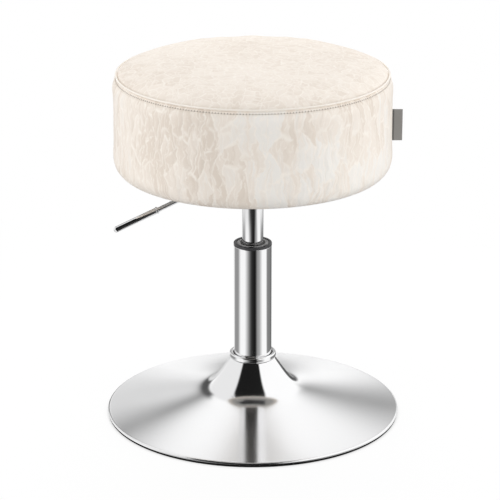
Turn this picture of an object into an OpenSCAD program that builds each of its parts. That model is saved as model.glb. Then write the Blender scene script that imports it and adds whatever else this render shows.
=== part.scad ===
// Height-adjustable swivel vanity stool: trumpet base, gas lift, release lever and round padded seat.
// Millimetres. +Z is up, the origin lies on the floor on the column's axis, the front faces -Y.

/* [Base] */
// Diameter of the round base over its rolled rim
base_d = 391.2; // [350:0.2:430]
// Height of the base shell's neck above the floor
neck_z = 76.5; // [70:0.5:90]
// Distance that the shell's neck stands out from the outer tube
neck_out = 4; // [3.8:0.1:6]
// Height of the rolled rim's top above the floor
rim_z = 6.2; // [5.6:0.1:9]
// Radius of the rolled rim
lip_r = 2.2; // [1.6:0.1:2.6]
// Thickness of the spun steel shell
shell_wall = 2; // [1.4:0.1:2.4]
// Rise of the dish for each unit of radius, at the rim
dish_slope_share = 0.165; // [0.14:0.005:0.2]
// Rise that the dish gains for each unit of radius, from the rim to the foot of the neck's cone
dish_bow_share = 0.085; // [0:0.005:0.12]
// Radius at the foot of the neck's cone
cone_foot_r = 57; // [50:0.5:66]
// Distance in which the neck's cone bends into the dish
cone_bend = 5; // [3:0.5:8]
// Height of the black edging that shows under the rim
edging_h = 2.6; // [2:0.1:3]
// Width of the edging on the floor
edging_w = 9; // [6:0.5:14]
// Distance from the rim that the edging is set back
edging_set = 0.6; // [0.3:0.1:1.2]

/* [Neck ring] */
// Height of the polished ring on the neck
ring_h = 7.5; // [5:0.5:12]
// Distance that the ring stands out past the neck
ring_out = 2; // [1:0.1:4]
// Gap between the ring and the outer tube
ring_gap = 1.3; // [0.5:0.1:1.6]
// Radius of the ring's rounded edges
ring_round = 1.9; // [0.8:0.1:2.2]

/* [Column] */
// Diameter of the outer tube
tube_d = 50; // [47:0.5:50.5]
// Wall of the outer tube
tube_wall = 1.5; // [1.2:0.1:2]
// Height of the outer tube's top above the floor
tube_top_z = 235; // [220:1:236]
// Height of the outer tube's bottom above the floor
tube_bottom_z = 10; // [9:0.5:12]
// Height of the tapered foot of the outer tube
foot_h = 60; // [45:1:64]
// Amount by which the tapered foot draws in at its bottom
foot_in = 1.5; // [0.8:0.1:2]
// Height of the collar above the tube
collar_h = 4; // [3:0.5:6]
// Distance that the collar stands out past the tube
collar_out = 0.4; // [0.2:0.1:1]
// Width of the collar's top ring
collar_w = 3.8; // [3:0.1:5]
// Depth of the collar's spigot in the tube
spigot_h = 11; // [8:1:16]
// Length of the plastic guide bush
bush_h = 70; // [50:1:80]
// Width of the wiper lip round the gas cylinder
wiper_w = 2.4; // [1.5:0.1:3.5]

/* [Gas lift] */
// Diameter of the gas cylinder
cylinder_d = 28; // [27:0.5:28.5]
// Wall of the gas cylinder
cylinder_wall = 1.5; // [1.2:0.1:1.8]
// Height of the gas cylinder's lower end above the floor
cylinder_bottom_z = 77; // [77:1:90]
// Diameter of the piston rod
rod_d = 10; // [9:0.5:10.5]
// Diameter of the rod's stepped lower end
rod_end_d = 8; // [7:0.5:8]
// Wall of the pressure tube inside the cylinder
pressure_wall = 1; // [0.8:0.1:1.2]
// Distance between the pressure tube and the cylinder
oil_gap = 1.5; // [1:0.1:2]
// Length of the piston head
piston_h = 14; // [10:1:18]
// Height of the piston head's lower face above the floor
piston_z = 174; // [170:1:180]
// Length of the valve body in the cylinder's top
valve_h = 32; // [28:1:34]
// Diameter of the valve pin
pin_d = 4.8; // [4:0.2:5.4]
// Height that the valve pin stands above the cylinder
pin_rise = 4.8; // [4.4:0.1:4.8]

/* [Bearing] */
// Diameter of the thrust bearing
bearing_d = 24; // [22:0.5:28]
// Diameter of a bearing ball
ball_d = 4.6; // [4:0.1:4.8]
// Number of bearing balls
ball_count = 10; // [6:1:10]
// Thickness of a bearing race
race_t = 2.4; // [2:0.1:3]

/* [Seat] */
// Largest diameter of the seat
seat_d = 364; // [340:1:385]
// Diameter of the seat at the top seam
seam_d = 351.8; // [330:0.2:354]
// Height of the seat's underside above the floor
seat_bottom_z = 337.3; // [337:0.1:345]
// Height of the top seam above the floor
seam_z = 468.9; // [440:0.1:500]
// Height that the crown rises above the seam
crown_h = 19; // [14:0.1:24]
// Height in which the side swells out below the seam
shoulder_h = 18; // [14:1:26]
// Radius of the seat's rounded lower edge
bottom_round = 30; // [24:1:34]
// Thickness of the cover
cover_t = 1.5; // [1:0.1:2.2]
// Radius of the welt in the top seam
welt_r = 1.2; // [0.9:0.1:1.6]
// Diameter of the seat board
board_d = 300; // [290:1:304]
// Thickness of the seat board
board_t = 15; // [12:0.5:18]
// Width of the cover's hem under the board
hem_w = 20; // [14:1:30]
// Thickness of the dust cover
dust_t = 0.6; // [0.4:0.1:0.9]
// Number of staples
staple_count = 32; // [16:1:48]

/* [Side tag] */
// Height of the folded side tag
tag_h = 42; // [25:1:50]
// Distance that the tag stands out from the seat
tag_out = 13; // [8:0.5:15]
// Thickness of the folded tag
tag_t = 1.2; // [0.8:0.1:1.6]
// Height of the tag's lower edge above the seat's underside
tag_rise = 41.7; // [36:0.1:60]

/* [Seat mechanism] */
// Width of the square mounting plate
plate_w = 155; // [150:1:170]
// Thickness of the mounting plate
plate_t = 3; // [2.5:0.1:3.5]
// Distance between the mounting bolts
bolt_pitch = 125; // [115:1:135]
// Diameter of the mounting bolts
bolt_d = 6; // [5:0.5:6.5]
// Outer width of the channel under the plate
channel_w = 50; // [47:0.5:54]
// Wall of the channel
channel_wall = 2.5; // [2:0.1:3]
// Length of the channel to each side of the column
channel_half = 42; // [34:1:44]
// Diameter of the taper socket
socket_d = 38; // [35:0.5:40]
// Height of the taper socket
socket_h = 28; // [26:0.5:29]
// Draft of the taper, on the radius over the socket's height
taper_in = 0.7; // [0.4:0.1:1]

/* [Lever] */
// Direction of the lever, turned from +X
lever_turn = 195; // [180:1:210]
// Angle at which the lever droops
lever_droop = 21.8; // [18:0.2:23]
// Distance of the lever's tip from the column's axis
lever_reach = 187; // [170:1:188]
// Diameter of the lever's rod
lever_rod_d = 6; // [5:0.5:6.5]
// Radius of the lever's bend, on the rod's centre line
bend_r = 14; // [10:1:18]
// Diameter of the lever's grip
grip_d = 8; // [7.5:0.1:10]
// Length of the lever's grip
grip_len = 61; // [45:1:75]
// Distance of the lever's pivot from the column's axis
pivot_r = 30; // [28:0.5:31]
// Diameter of the lever's pivot pin
pivot_d = 4; // [3:0.5:4.5]
// Width of the lever's arm
arm_w = 10; // [9:0.5:12]
// Height of the lever's arm
arm_h = 9; // [8.8:0.1:9.4]

/* [Hidden] */
$fn = 96;

// Clearances: parts fixed to each other, parts that run in each other, and soft parts
fit_gap = 0.05;
run_gap = 0.05;
soft_gap = 0.2;
// Overrun of a cut past the face that it leaves
cut = 1;

// Base: the outside follows a dish that steepens a little inwards, plus a cone that ends softly at its foot
base_r = base_d / 2;
rim_r = base_r - lip_r;
neck_r = tube_d / 2 + neck_out;
shell_steps = 36;
shell_step_power_share = 1.4;
lip_steps = 6;
function dish_z(r) =
  rim_z + dish_slope_share * (rim_r - r) + dish_bow_share * pow(rim_r - r, 2) / 2 / (rim_r - cone_foot_r);
function dish_rise(r) = dish_slope_share + dish_bow_share * (rim_r - r) / (rim_r - cone_foot_r);
function cone_share(r) = cone_bend * ln(1 + exp((cone_foot_r - r) / cone_bend));
cone_rise = (neck_z - dish_z(neck_r)) / cone_share(neck_r);
function shell_z(r) = dish_z(r) + cone_rise * cone_share(r);
function shell_slope(r) = -dish_rise(r) - cone_rise / (1 + exp((r - cone_foot_r) / cone_bend));
function shell_lean(r) = sqrt(1 + pow(shell_slope(r), 2));
function shell_radius(i) = neck_r + (rim_r - neck_r) * pow(i / shell_steps, shell_step_power_share);
function shell_outside(i) = [shell_radius(i), shell_z(shell_radius(i))];
function shell_inside(r) = [
  r + shell_wall * shell_slope(r) / shell_lean(r),
  shell_z(r) - shell_wall / shell_lean(r)
];
neck_wall = shell_wall * shell_lean(neck_r) / abs(shell_slope(neck_r));
neck_in_r = neck_r - neck_wall;
lip_z = rim_z - lip_r;
edging_rib_w = edging_w / 3;
edging_rib_z = edging_h + (lip_z - edging_h) / 2;

// Column
tube_r = tube_d / 2;
tube_in_r = tube_r - tube_wall;
foot_r = tube_r - foot_in;
foot_top_z = tube_bottom_z + foot_h;
tube_lip_t = 2;
tube_lip_w = 3.5;
end_plate_t = 4;
end_plate_z = tube_bottom_z + tube_lip_t;
end_plate_r = foot_r - tube_wall - fit_gap;
collar_r = tube_r + collar_out;
collar_in_r = collar_r - collar_w;
collar_top_z = tube_top_z + collar_h;
collar_round = collar_h / 3;
groove_w = 0.6;
bush_neck_r = collar_in_r - groove_w;
bush_drop = 0.7;
bush_top_z = collar_top_z - bush_drop;
bush_bottom_z = bush_top_z - bush_h;
spigot_z = tube_top_z - spigot_h;
wiper_h = 1.5;
wiper_lip = 0.8;
wiper_z = bush_top_z - wiper_h;

// Hub: a sleeve that holds the tube's tapered foot, and a dished plate that braces it to the shell
hub_top_z = neck_z;
hub_bottom_z = end_plate_z;
hub_r = neck_in_r - fit_gap;
hub_plate_t = 2;
hub_plate_z = hub_bottom_z + hub_plate_t;
hub_plate_r = cone_foot_r + 26;

// Gas lift
cylinder_r = cylinder_d / 2;
cylinder_in_r = cylinder_r - cylinder_wall;
cylinder_curl_t = 2;
cylinder_curl_in = 5.5;
rod_r = rod_d / 2;
rod_end_r = rod_end_d / 2;
pressure_r = cylinder_in_r - oil_gap;
bore_r = pressure_r - pressure_wall;
gland_z = cylinder_bottom_z + cylinder_curl_t;
gland_h = 14;
gland_top_z = gland_z + gland_h;
gland_seal_h = 4;
piston_groove_h = 4;
piston_groove_t = 1.9;
piston_seal_z = piston_z + (piston_h - piston_groove_h) / 2;
pin_r = pin_d / 2;
valve_seal_t = 1.8;
valve_seal_w = 1.6;
valve_seal_shares = [0.35, 0.7];
pin_reach = 24;

// Thrust bearing and the rod's lower end
bearing_r = bearing_d / 2;
ball_r = ball_d / 2;
lower_race_z = end_plate_z + end_plate_t;
race_groove_t = race_t / 3;
ball_z = lower_race_z + race_t - race_groove_t + ball_r + run_gap;
upper_race_z = ball_z + ball_r + run_gap - race_groove_t;
ball_ring_r = (bearing_r + rod_end_r) / 2;
cage_t = 1.4;
cage_w = ball_d + 1.6;
support_t = 2;
support_z = upper_race_z + race_t;
rod_step_z = support_z + support_t;
bump_t = 4;
washer_t = 1.2;
clip_t = 1.2;
rod_washer_z = end_plate_z - run_gap - washer_t;
clip_z = rod_washer_z - clip_t;
clip_groove_in = 0.8;
clip_w = 3.5;
rod_tail = 2;

// Seat: the profile of the cover's outside, drawn in by an inset for the layers under it
seat_r = seat_d / 2;
seam_r = seam_d / 2;
crown_power_shares = [6, 1];
round_power_share = 2.8;
crown_steps = 16;
side_steps = 8;
function crown(inset) = [
  for (i = [0 : crown_steps]) let (a = 90 * i / crown_steps) [
    (seam_r - inset) * pow(sin(a), 2 / crown_power_shares[0]),
    seam_z + (crown_h - inset) * pow(cos(a), 2 / crown_power_shares[1])
  ]
];
function shoulder(inset) = [
  for (i = [1 : side_steps]) let (t = i / side_steps) [
    seam_r - inset + (seat_r - seam_r) * sin(90 * t),
    seam_z - shoulder_h * t
  ]
];
function lower_edge(inset) = [
  for (i = [0 : side_steps]) let (a = 90 * i / side_steps) [
    seat_r - bottom_round + (bottom_round - inset) * pow(cos(a), 2 / round_power_share),
    seat_bottom_z + bottom_round - (bottom_round - inset) * pow(sin(a), 2 / round_power_share)
  ]
];
board_r = board_d / 2;
board_z = seat_bottom_z + cover_t;
board_top_z = board_z + board_t;
hem_r = board_r - hem_w;
dust_r = hem_r + hem_w / 2;
dust_slope_w = 4;
plate_top_z = board_z - dust_t;
plate_z = plate_top_z - plate_t;
welt_lean = 29;
welt_off = welt_r + soft_gap;

// Staples, through the dust cover and the hem into the board
staple_r = hem_r + hem_w / 4;
staple_w = 10;
staple_t = 0.7;
staple_leg = 6;

// Tag, sewn into a slot in the side band
tag_z = seat_bottom_z + tag_rise;
tag_root = cover_t;
tag_fold_r = tag_t / 2;

// Seat mechanism
socket_r = socket_d / 2;
arm_z = plate_z - 7.7;
arm_low_z = arm_z - arm_h / 2;
pin_gap = 0.2;
pin_top_z = arm_low_z - pin_gap;
cylinder_top_z = pin_top_z - pin_rise;
socket_z = cylinder_top_z - socket_h;
valve_z = cylinder_top_z - cylinder_curl_t - valve_h;
taper_top_r = cylinder_r - taper_in;
web_z = socket_z + 0.45 * socket_h;
plate_round = 12;
bolt_r = bolt_d / 2;
bolt_hole_r = bolt_r + 0.4;
bolt_head_h = 4;
bolt_head_r = 0.95 * bolt_d;
bolt_washer_t = 1.4;
bolt_washer_r = 1.35 * bolt_d;
tee_wall = 1;
tee_flange_t = 1.6;
tee_flange_r = 1.6 * bolt_d;
tee_barrel_h = 11;
bolt_len = bolt_washer_t + plate_t + dust_t + board_t - tee_flange_t;
bolt_places = [for (x = [-1, 1]) for (y = [-1, 1]) [x * bolt_pitch / 2, y * bolt_pitch / 2]];

// Lever: an arm on the pivot, a bent rod and a grip, in a vertical plane through the column's axis
pivot_pin_r = pivot_d / 2;
arm_in = 8;
arm_out = 10;
arm_end = pivot_r + arm_out;
arm_socket = 6;
arm_side_gap = 0.1;
corner_out = 14.75;
corner_r = pivot_r + corner_out;
bend_tangent = bend_r * tan(lever_droop / 2);
bend_thin = 0.05;
bend_over = 2;
lever_rod_r = lever_rod_d / 2;
grip_r = grip_d / 2;
line_len = (lever_reach - corner_r) / cos(lever_droop);
grip_start = line_len - grip_len;
grip_bore = 20;
shoulder_len = 2.4;
shoulder_r = grip_r + 0.6;
pivot_head_t = 1.5;
pivot_head_r = 1.7 * pivot_pin_r;
pivot_tail = 3;
pivot_clip_t = 1;
pivot_groove_in = 0.5;
spacer_wall = 1.6;
spacer_len = channel_w / 2 - channel_wall - arm_w / 2 - arm_side_gap - fit_gap;

// A rectangle whose four corners are rounded, as points for a turned section
function round_box(x0, x1, z0, z1, r, n = 5) = [
  for (c = [[x1 - r, z1 - r, 0], [x0 + r, z1 - r, 90], [x0 + r, z0 + r, 180], [x1 - r, z0 + r, 270]])
    for (i = [0 : n]) [c[0] + r * cos(c[2] + 90 * i / n), c[1] + r * sin(c[2] + 90 * i / n)]
];

// A flat ring or plain disc
module ring(r_out, r_in, z, h) {
  difference() {
    translate([0, 0, z]) cylinder(r = r_out, h = h);
    if (r_in > 0) translate([0, 0, z - cut]) cylinder(r = r_in, h = h + 2 * cut);
  }
}

// A split ring: a flat ring with a slot to one side
module split_ring(r_out, r_in, z, h, slot) {
  difference() {
    ring(r_out, r_in, z, h);
    translate([0, -slot / 2, z - cut]) cube([r_out + cut, slot, h + 2 * cut]);
  }
}

// A bar along +Y, centred on the column's plane
module cross_bar(r, y0, y1) {
  translate([0, y1, 0]) rotate([90, 0, 0]) cylinder(r = r, h = y1 - y0);
}

// The mechanism's own frame: +X points along the lever
module mechanism() {
  rotate([0, 0, lever_turn]) children();
}

// The lever's sloping line: +Z runs outwards along it from the bend's corner
module lever_line() {
  mechanism() translate([corner_r, 0, arm_z]) rotate([0, 90 + lever_droop, 0]) children();
}

// Spun steel trumpet with a rolled rim
module base_shell() {
  color("gainsboro") rotate_extrude() polygon(concat(
    [for (i = [0 : shell_steps]) shell_outside(i)],
    [for (i = [1 : lip_steps]) let (a = 90 - 90 * i / lip_steps)
      [rim_r + lip_r * cos(a), lip_z + lip_r * sin(a)]],
    [[base_r, edging_h], [base_r - shell_wall, edging_h], [base_r - shell_wall, lip_z]],
    [for (i = [shell_steps : -1 : 1]) shell_inside(shell_radius(i))],
    [[neck_in_r, neck_z]]
  ));
}

// Black edging under the rim, with a rib behind it
module base_edging() {
  color("black") rotate_extrude() polygon([
    [base_r - edging_w, 0],
    [base_r - edging_set, 0],
    [base_r - edging_set, edging_h],
    [base_r - shell_wall - fit_gap, edging_h],
    [base_r - shell_wall - fit_gap, edging_rib_z],
    [base_r - shell_wall - edging_rib_w, edging_rib_z],
    [base_r - edging_w, edging_h]
  ]);
}

// Polished trim ring on the neck
module neck_ring() {
  color("silver") rotate_extrude()
    polygon(round_box(tube_r + ring_gap, neck_r + ring_out, neck_z, neck_z + ring_h, ring_round));
}

// Sleeve welded in the neck, bored to the tube's tapered foot
module base_hub() {
  color("dimgray") rotate_extrude() polygon([
    [foot_r + fit_gap + foot_in * (hub_bottom_z - tube_bottom_z) / foot_h, hub_bottom_z],
    [hub_r, hub_bottom_z],
    [hub_r, hub_top_z],
    [tube_r + fit_gap, hub_top_z],
    [tube_r + fit_gap, foot_top_z]
  ]);
}

// Dished plate that braces the hub to the shell
module hub_plate() {
  edge = shell_inside(hub_plate_r);
  color("dimgray") rotate_extrude() polygon([
    [hub_r + fit_gap, hub_bottom_z],
    [edge[0], edge[1] - hub_plate_t - fit_gap],
    [edge[0], edge[1] - fit_gap],
    [hub_r + fit_gap, hub_plate_z]
  ]);
}

// Outer tube with a tapered foot and a rolled-in bottom lip
module outer_tube() {
  color("silver") rotate_extrude() polygon([
    [foot_r - tube_wall - tube_lip_w, tube_bottom_z],
    [foot_r, tube_bottom_z],
    [tube_r, foot_top_z],
    [tube_r, tube_top_z],
    [tube_in_r, tube_top_z],
    [tube_in_r, foot_top_z],
    [foot_r - tube_wall, end_plate_z],
    [foot_r - tube_wall - tube_lip_w, end_plate_z]
  ]);
}

// End plate that carries the bearing
module tube_end_plate() {
  color("dimgray") ring(end_plate_r, rod_end_r + run_gap, end_plate_z, end_plate_t);
}

// Collar on the tube's top, with a spigot inside
module tube_collar() {
  color("darkgray") rotate_extrude() polygon(concat(
    [[collar_in_r, spigot_z], [tube_in_r - fit_gap, spigot_z], [tube_in_r - fit_gap, tube_top_z],
     [collar_r, tube_top_z]],
    [for (i = [0 : lip_steps]) let (a = 90 * i / lip_steps)
      [collar_r - collar_round + collar_round * cos(a), collar_top_z - collar_round + collar_round * sin(a)]],
    [[collar_in_r, collar_top_z]]
  ));
}

// Guide bush that the gas cylinder slides and turns in
module guide_bush() {
  color("gray") difference() {
    union() {
      ring(tube_in_r - fit_gap, cylinder_r + run_gap, bush_bottom_z, spigot_z - bush_bottom_z);
      ring(bush_neck_r, cylinder_r + run_gap, spigot_z, bush_top_z - spigot_z);
    }
    ring(cylinder_r + run_gap + wiper_w + fit_gap, 0, wiper_z, wiper_h + cut);
  }
}

// Wiper lip round the gas cylinder
module wiper_ring() {
  color("black") ring(cylinder_r + run_gap + wiper_w, cylinder_r + run_gap, wiper_z, wiper_h + wiper_lip);
}

// A bearing race with the balls' groove in one face
module race(z) {
  difference() {
    ring(bearing_r, rod_end_r + run_gap, z, race_t);
    rotate_extrude() translate([ball_ring_r, ball_z]) circle(r = ball_r + run_gap);
  }
}

module lower_race() {
  color("slategray") race(lower_race_z);
}

module upper_race() {
  color("slategray") race(upper_race_z);
}

// Cage with a pocket for each ball
module bearing_cage() {
  color("peru") difference() {
    ring(ball_ring_r + cage_w / 2, ball_ring_r - cage_w / 2, ball_z - cage_t / 2, cage_t);
    for (i = [0 : ball_count - 1]) rotate([0, 0, 360 * i / ball_count])
      translate([ball_ring_r, 0, ball_z - cage_t / 2 - cut]) cylinder(r = ball_r + run_gap, h = cage_t + 2 * cut);
  }
}

module bearing_balls() {
  color("lightsteelblue") for (i = [0 : ball_count - 1]) rotate([0, 0, 360 * i / ball_count])
    translate([ball_ring_r, 0, ball_z]) sphere(r = ball_r);
}

// Washer that the rod's step stands on
module support_washer() {
  color("dimgray") ring(bearing_r - fit_gap, rod_end_r + fit_gap, support_z, support_t);
}

// Rubber stop under the gas cylinder
module bump_stop() {
  color("black") ring(bearing_r - fit_gap, rod_r + fit_gap, rod_step_z, bump_t);
}

// Piston rod, stepped to pass the bearing, with a groove for its clip
module piston_rod() {
  color("silver") difference() {
    union() {
      ring(rod_r, 0, rod_step_z, piston_z + piston_h - rod_step_z);
      ring(rod_end_r, 0, clip_z - rod_tail, rod_step_z - clip_z + rod_tail);
    }
    ring(rod_r, rod_end_r - clip_groove_in, clip_z, clip_t);
  }
}

// Piston head on the rod, with a groove for its seal
module piston_head() {
  color("darkgray") difference() {
    ring(bore_r - run_gap, rod_r + fit_gap, piston_z, piston_h);
    ring(bore_r + cut, bore_r - run_gap - piston_groove_t, piston_seal_z, piston_groove_h);
  }
}

module piston_seal() {
  color("black") ring(bore_r - run_gap, bore_r - piston_groove_t, piston_seal_z + fit_gap,
                      piston_groove_h - 2 * fit_gap);
}

// Washer and clip that hold the rod under the end plate
module rod_washer() {
  color("silver") ring(bearing_r - tube_wall, rod_end_r + fit_gap, rod_washer_z, washer_t);
}

module rod_clip() {
  color("dimgray") split_ring(rod_end_r + clip_w, rod_end_r - clip_groove_in + fit_gap, clip_z + fit_gap,
                              clip_t - fit_gap, rod_end_r);
}

// Gas cylinder, curled in at both ends and tapered in the socket
module gas_cylinder() {
  color("silver") rotate_extrude() polygon([
    [cylinder_in_r - cylinder_curl_in, cylinder_bottom_z],
    [cylinder_r, cylinder_bottom_z],
    [cylinder_r, socket_z],
    [taper_top_r, cylinder_top_z],
    [cylinder_in_r - cylinder_curl_in, cylinder_top_z],
    [cylinder_in_r - cylinder_curl_in, cylinder_top_z - cylinder_curl_t],
    [taper_top_r - cylinder_wall, cylinder_top_z - cylinder_curl_t],
    [taper_top_r - cylinder_wall, valve_z],
    [cylinder_in_r, valve_z],
    [cylinder_in_r, gland_z],
    [cylinder_in_r - cylinder_curl_in, gland_z]
  ]);
}

// Gland and seal that the rod runs through
module rod_gland() {
  color("darkgray") ring(cylinder_in_r - fit_gap, rod_r + run_gap, gland_z, gland_h);
}

module gland_seal() {
  color("black") ring(bore_r - fit_gap, rod_r + run_gap, gland_top_z, gland_seal_h);
}

module pressure_tube() {
  color("lightgray") ring(pressure_r, bore_r, gland_top_z, valve_z - gland_top_z);
}

// Valve body with a bore for the pin and a groove for each of its seals
module valve_body() {
  color("goldenrod") difference() {
    ring(taper_top_r - cylinder_wall - fit_gap, pin_r + run_gap, valve_z, valve_h);
    for (share = valve_seal_shares)
      ring(pin_r + run_gap + valve_seal_t, 0, valve_z + share * valve_h, valve_seal_w);
  }
}

module valve_seals() {
  color("black") for (share = valve_seal_shares)
    ring(pin_r + run_gap + valve_seal_t - fit_gap, pin_r + run_gap,
         valve_z + share * valve_h + fit_gap, valve_seal_w - 2 * fit_gap);
}

// Valve pin with a domed head that the lever's arm presses
module valve_pin() {
  color("silver") {
    ring(pin_r, 0, pin_top_z - pin_reach, pin_reach - pin_r);
    intersection() {
      translate([0, 0, pin_top_z - pin_r]) sphere(r = pin_r);
      ring(pin_r + cut, 0, pin_top_z - pin_r, pin_r + cut);
    }
  }
}

// Socket, bored to the gas cylinder's taper
module taper_socket() {
  color("dimgray") rotate_extrude() polygon([
    [cylinder_r + fit_gap, socket_z],
    [socket_r, socket_z],
    [socket_r, cylinder_top_z],
    [taper_top_r + fit_gap, cylinder_top_z]
  ]);
}

// Channel that carries the socket and the lever's pivot
module mechanism_channel() {
  color("dimgray") mechanism() difference() {
    translate([-channel_half, -channel_w / 2, web_z]) cube([2 * channel_half, channel_w, plate_z - web_z]);
    translate([-channel_half - cut, channel_wall - channel_w / 2, web_z + channel_wall])
      cube([2 * (channel_half + cut), channel_w - 2 * channel_wall, plate_z - web_z]);
    ring(socket_r + fit_gap, 0, web_z - cut, channel_wall + 2 * cut);
    translate([pivot_r, 0, arm_z]) cross_bar(pivot_pin_r + fit_gap, -channel_w, channel_w);
  }
}

// Square mounting plate with rounded corners and four holes
module mounting_plate() {
  side = plate_w - 2 * plate_round;
  color("dimgray") mechanism() difference() {
    union() {
      translate([-plate_w / 2, -side / 2, plate_z]) cube([plate_w, side, plate_t]);
      translate([-side / 2, -plate_w / 2, plate_z]) cube([side, plate_w, plate_t]);
      for (x = [-1, 1]) for (y = [-1, 1])
        translate([x * side / 2, y * side / 2, 0]) ring(plate_round, 0, plate_z, plate_t);
    }
    for (p = bolt_places) translate(p) ring(bolt_hole_r, 0, plate_z - cut, plate_t + 2 * cut);
  }
}

// Pivot pin with a head at one end and a clip groove at the other
module pivot_pin() {
  color("silver") mechanism() translate([pivot_r, 0, arm_z]) difference() {
    union() {
      cross_bar(pivot_pin_r, -channel_w / 2, channel_w / 2 + pivot_tail);
      cross_bar(pivot_head_r, -channel_w / 2 - pivot_head_t, -channel_w / 2);
    }
    difference() {
      cross_bar(pivot_pin_r + cut, channel_w / 2, channel_w / 2 + pivot_clip_t);
      cross_bar(pivot_pin_r - pivot_groove_in, 0, channel_w);
    }
  }
}

module pivot_clip() {
  color("dimgray") mechanism() translate([pivot_r, channel_w / 2, arm_z]) rotate([-90, 0, 0])
    split_ring(pivot_head_r, pivot_pin_r - pivot_groove_in + fit_gap, fit_gap, pivot_clip_t - 2 * fit_gap,
               pivot_pin_r);
}

// Two sleeves that keep the arm central on its pin
module pivot_spacers() {
  color("white") mechanism() translate([pivot_r, 0, arm_z]) for (side = [0, 1]) mirror([0, side, 0])
    difference() {
      cross_bar(pivot_pin_r + spacer_wall, arm_w / 2 + arm_side_gap, arm_w / 2 + arm_side_gap + spacer_len);
      cross_bar(pivot_pin_r + fit_gap, 0, channel_w / 2);
    }
}

// Arm of the lever, from over the valve pin to the rod's socket
module lever_arm() {
  color("silver") mechanism() difference() {
    translate([-arm_in, -arm_w / 2, arm_low_z]) cube([arm_in + arm_end, arm_w, arm_h]);
    translate([pivot_r, 0, arm_z]) cross_bar(pivot_pin_r + run_gap, -arm_w, arm_w);
    translate([arm_end - arm_socket, 0, arm_z]) rotate([0, 90, 0])
      cylinder(r = lever_rod_r + fit_gap, h = arm_socket + cut);
  }
}

// Rod of the lever: a short level run, a bend that thins it a little, and a long slope into the grip
module lever_rod() {
  color("silver") {
    mechanism() {
      translate([arm_end - arm_socket, 0, arm_z]) rotate([0, 90, 0])
        cylinder(r = lever_rod_r, h = corner_r - bend_tangent - arm_end + arm_socket);
      translate([corner_r - bend_tangent, 0, arm_z - bend_r]) rotate([90, 0, 0])
        rotate([0, 0, 90 - lever_droop - bend_over]) rotate_extrude(angle = lever_droop + 2 * bend_over)
          translate([bend_r, 0]) circle(r = lever_rod_r - bend_thin);
    }
    lever_line() ring(lever_rod_r, 0, bend_tangent, grip_start + grip_bore - bend_tangent);
  }
}

// Shoulder ring where the grip begins
module lever_shoulder() {
  color("silver") lever_line() ring(shoulder_r, lever_rod_r + fit_gap, grip_start - shoulder_len, shoulder_len);
}

// Grip, a turned sleeve with a round nose
module lever_grip() {
  color("silver") lever_line() rotate_extrude() polygon(concat(
    [[lever_rod_r + fit_gap, grip_start], [grip_r, grip_start]],
    [for (i = [0 : lip_steps]) let (a = 90 * i / lip_steps)
      [grip_r * cos(a), line_len - grip_r + grip_r * sin(a)]],
    [[0, grip_start + grip_bore + fit_gap], [lever_rod_r + fit_gap, grip_start + grip_bore + fit_gap]]
  ));
}

// Bolts, washers and tee nuts that join the plate to the board
module mounting_bolts() {
  color("silver") mechanism() for (p = bolt_places) translate(p) {
    ring(bolt_r, 0, plate_z - bolt_washer_t, bolt_len);
    translate([0, 0, plate_z - bolt_washer_t - bolt_head_h]) cylinder(r = bolt_head_r, h = bolt_head_h, $fn = 6);
  }
}

module bolt_washers() {
  color("lightgray") mechanism() for (p = bolt_places) translate(p)
    ring(bolt_washer_r, bolt_hole_r, plate_z - bolt_washer_t, bolt_washer_t);
}

module tee_nuts() {
  color("darkgray") mechanism() for (p = bolt_places) translate(p) difference() {
    union() {
      ring(bolt_r + tee_wall, 0, board_top_z - tee_flange_t - tee_barrel_h, tee_barrel_h);
      ring(tee_flange_r, 0, board_top_z - tee_flange_t, tee_flange_t);
    }
    ring(bolt_r + fit_gap, 0, board_z, board_t + cut);
  }
}

// Plywood seat board, drilled and counterbored for the tee nuts
module seat_board() {
  color("burlywood") difference() {
    ring(board_r, 0, board_z, board_t);
    mechanism() for (p = bolt_places) translate(p) {
      ring(bolt_r + tee_wall + fit_gap, 0, board_z - cut, board_t);
      ring(tee_flange_r + fit_gap, 0, board_top_z - tee_flange_t, tee_flange_t + cut);
    }
  }
}

// Foam over and round the board
module seat_foam() {
  inset = cover_t + soft_gap;
  color("khaki") rotate_extrude() polygon(concat(
    crown(inset), shoulder(inset), lower_edge(inset),
    [[board_r + soft_gap, seat_bottom_z + inset], [board_r + soft_gap, board_top_z], [0, board_top_z]]
  ));
}

// Round top panel of the cover, crowned
module top_cover() {
  color("linen") rotate_extrude() polygon(concat(
    crown(0),
    [for (i = [crown_steps : -1 : 0]) crown(cover_t)[i]]
  ));
}

// Side band of the cover, turned under the board as a hem, with a slot for the tag
module side_band() {
  inner = concat([[seam_r - cover_t, seam_z]], shoulder(cover_t), lower_edge(cover_t));
  color("linen") difference() {
    rotate_extrude() polygon(concat(
      [[seam_r, seam_z]], shoulder(0), lower_edge(0),
      [[hem_r, seat_bottom_z], [hem_r, board_z]],
      [for (i = [len(inner) - 1 : -1 : 0]) inner[i]]
    ));
    translate([seat_r - 2 * cover_t, -tag_t / 2 - fit_gap, tag_z - fit_gap])
      cube([2 * cover_t + cut, tag_t + 2 * fit_gap, tag_h + 2 * fit_gap]);
  }
}

// Welt that stands in the top seam
module seam_welt() {
  color("linen") rotate_extrude()
    translate([seam_r + welt_off * cos(welt_lean), seam_z + welt_off * sin(welt_lean)]) circle(r = welt_r);
}

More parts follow.
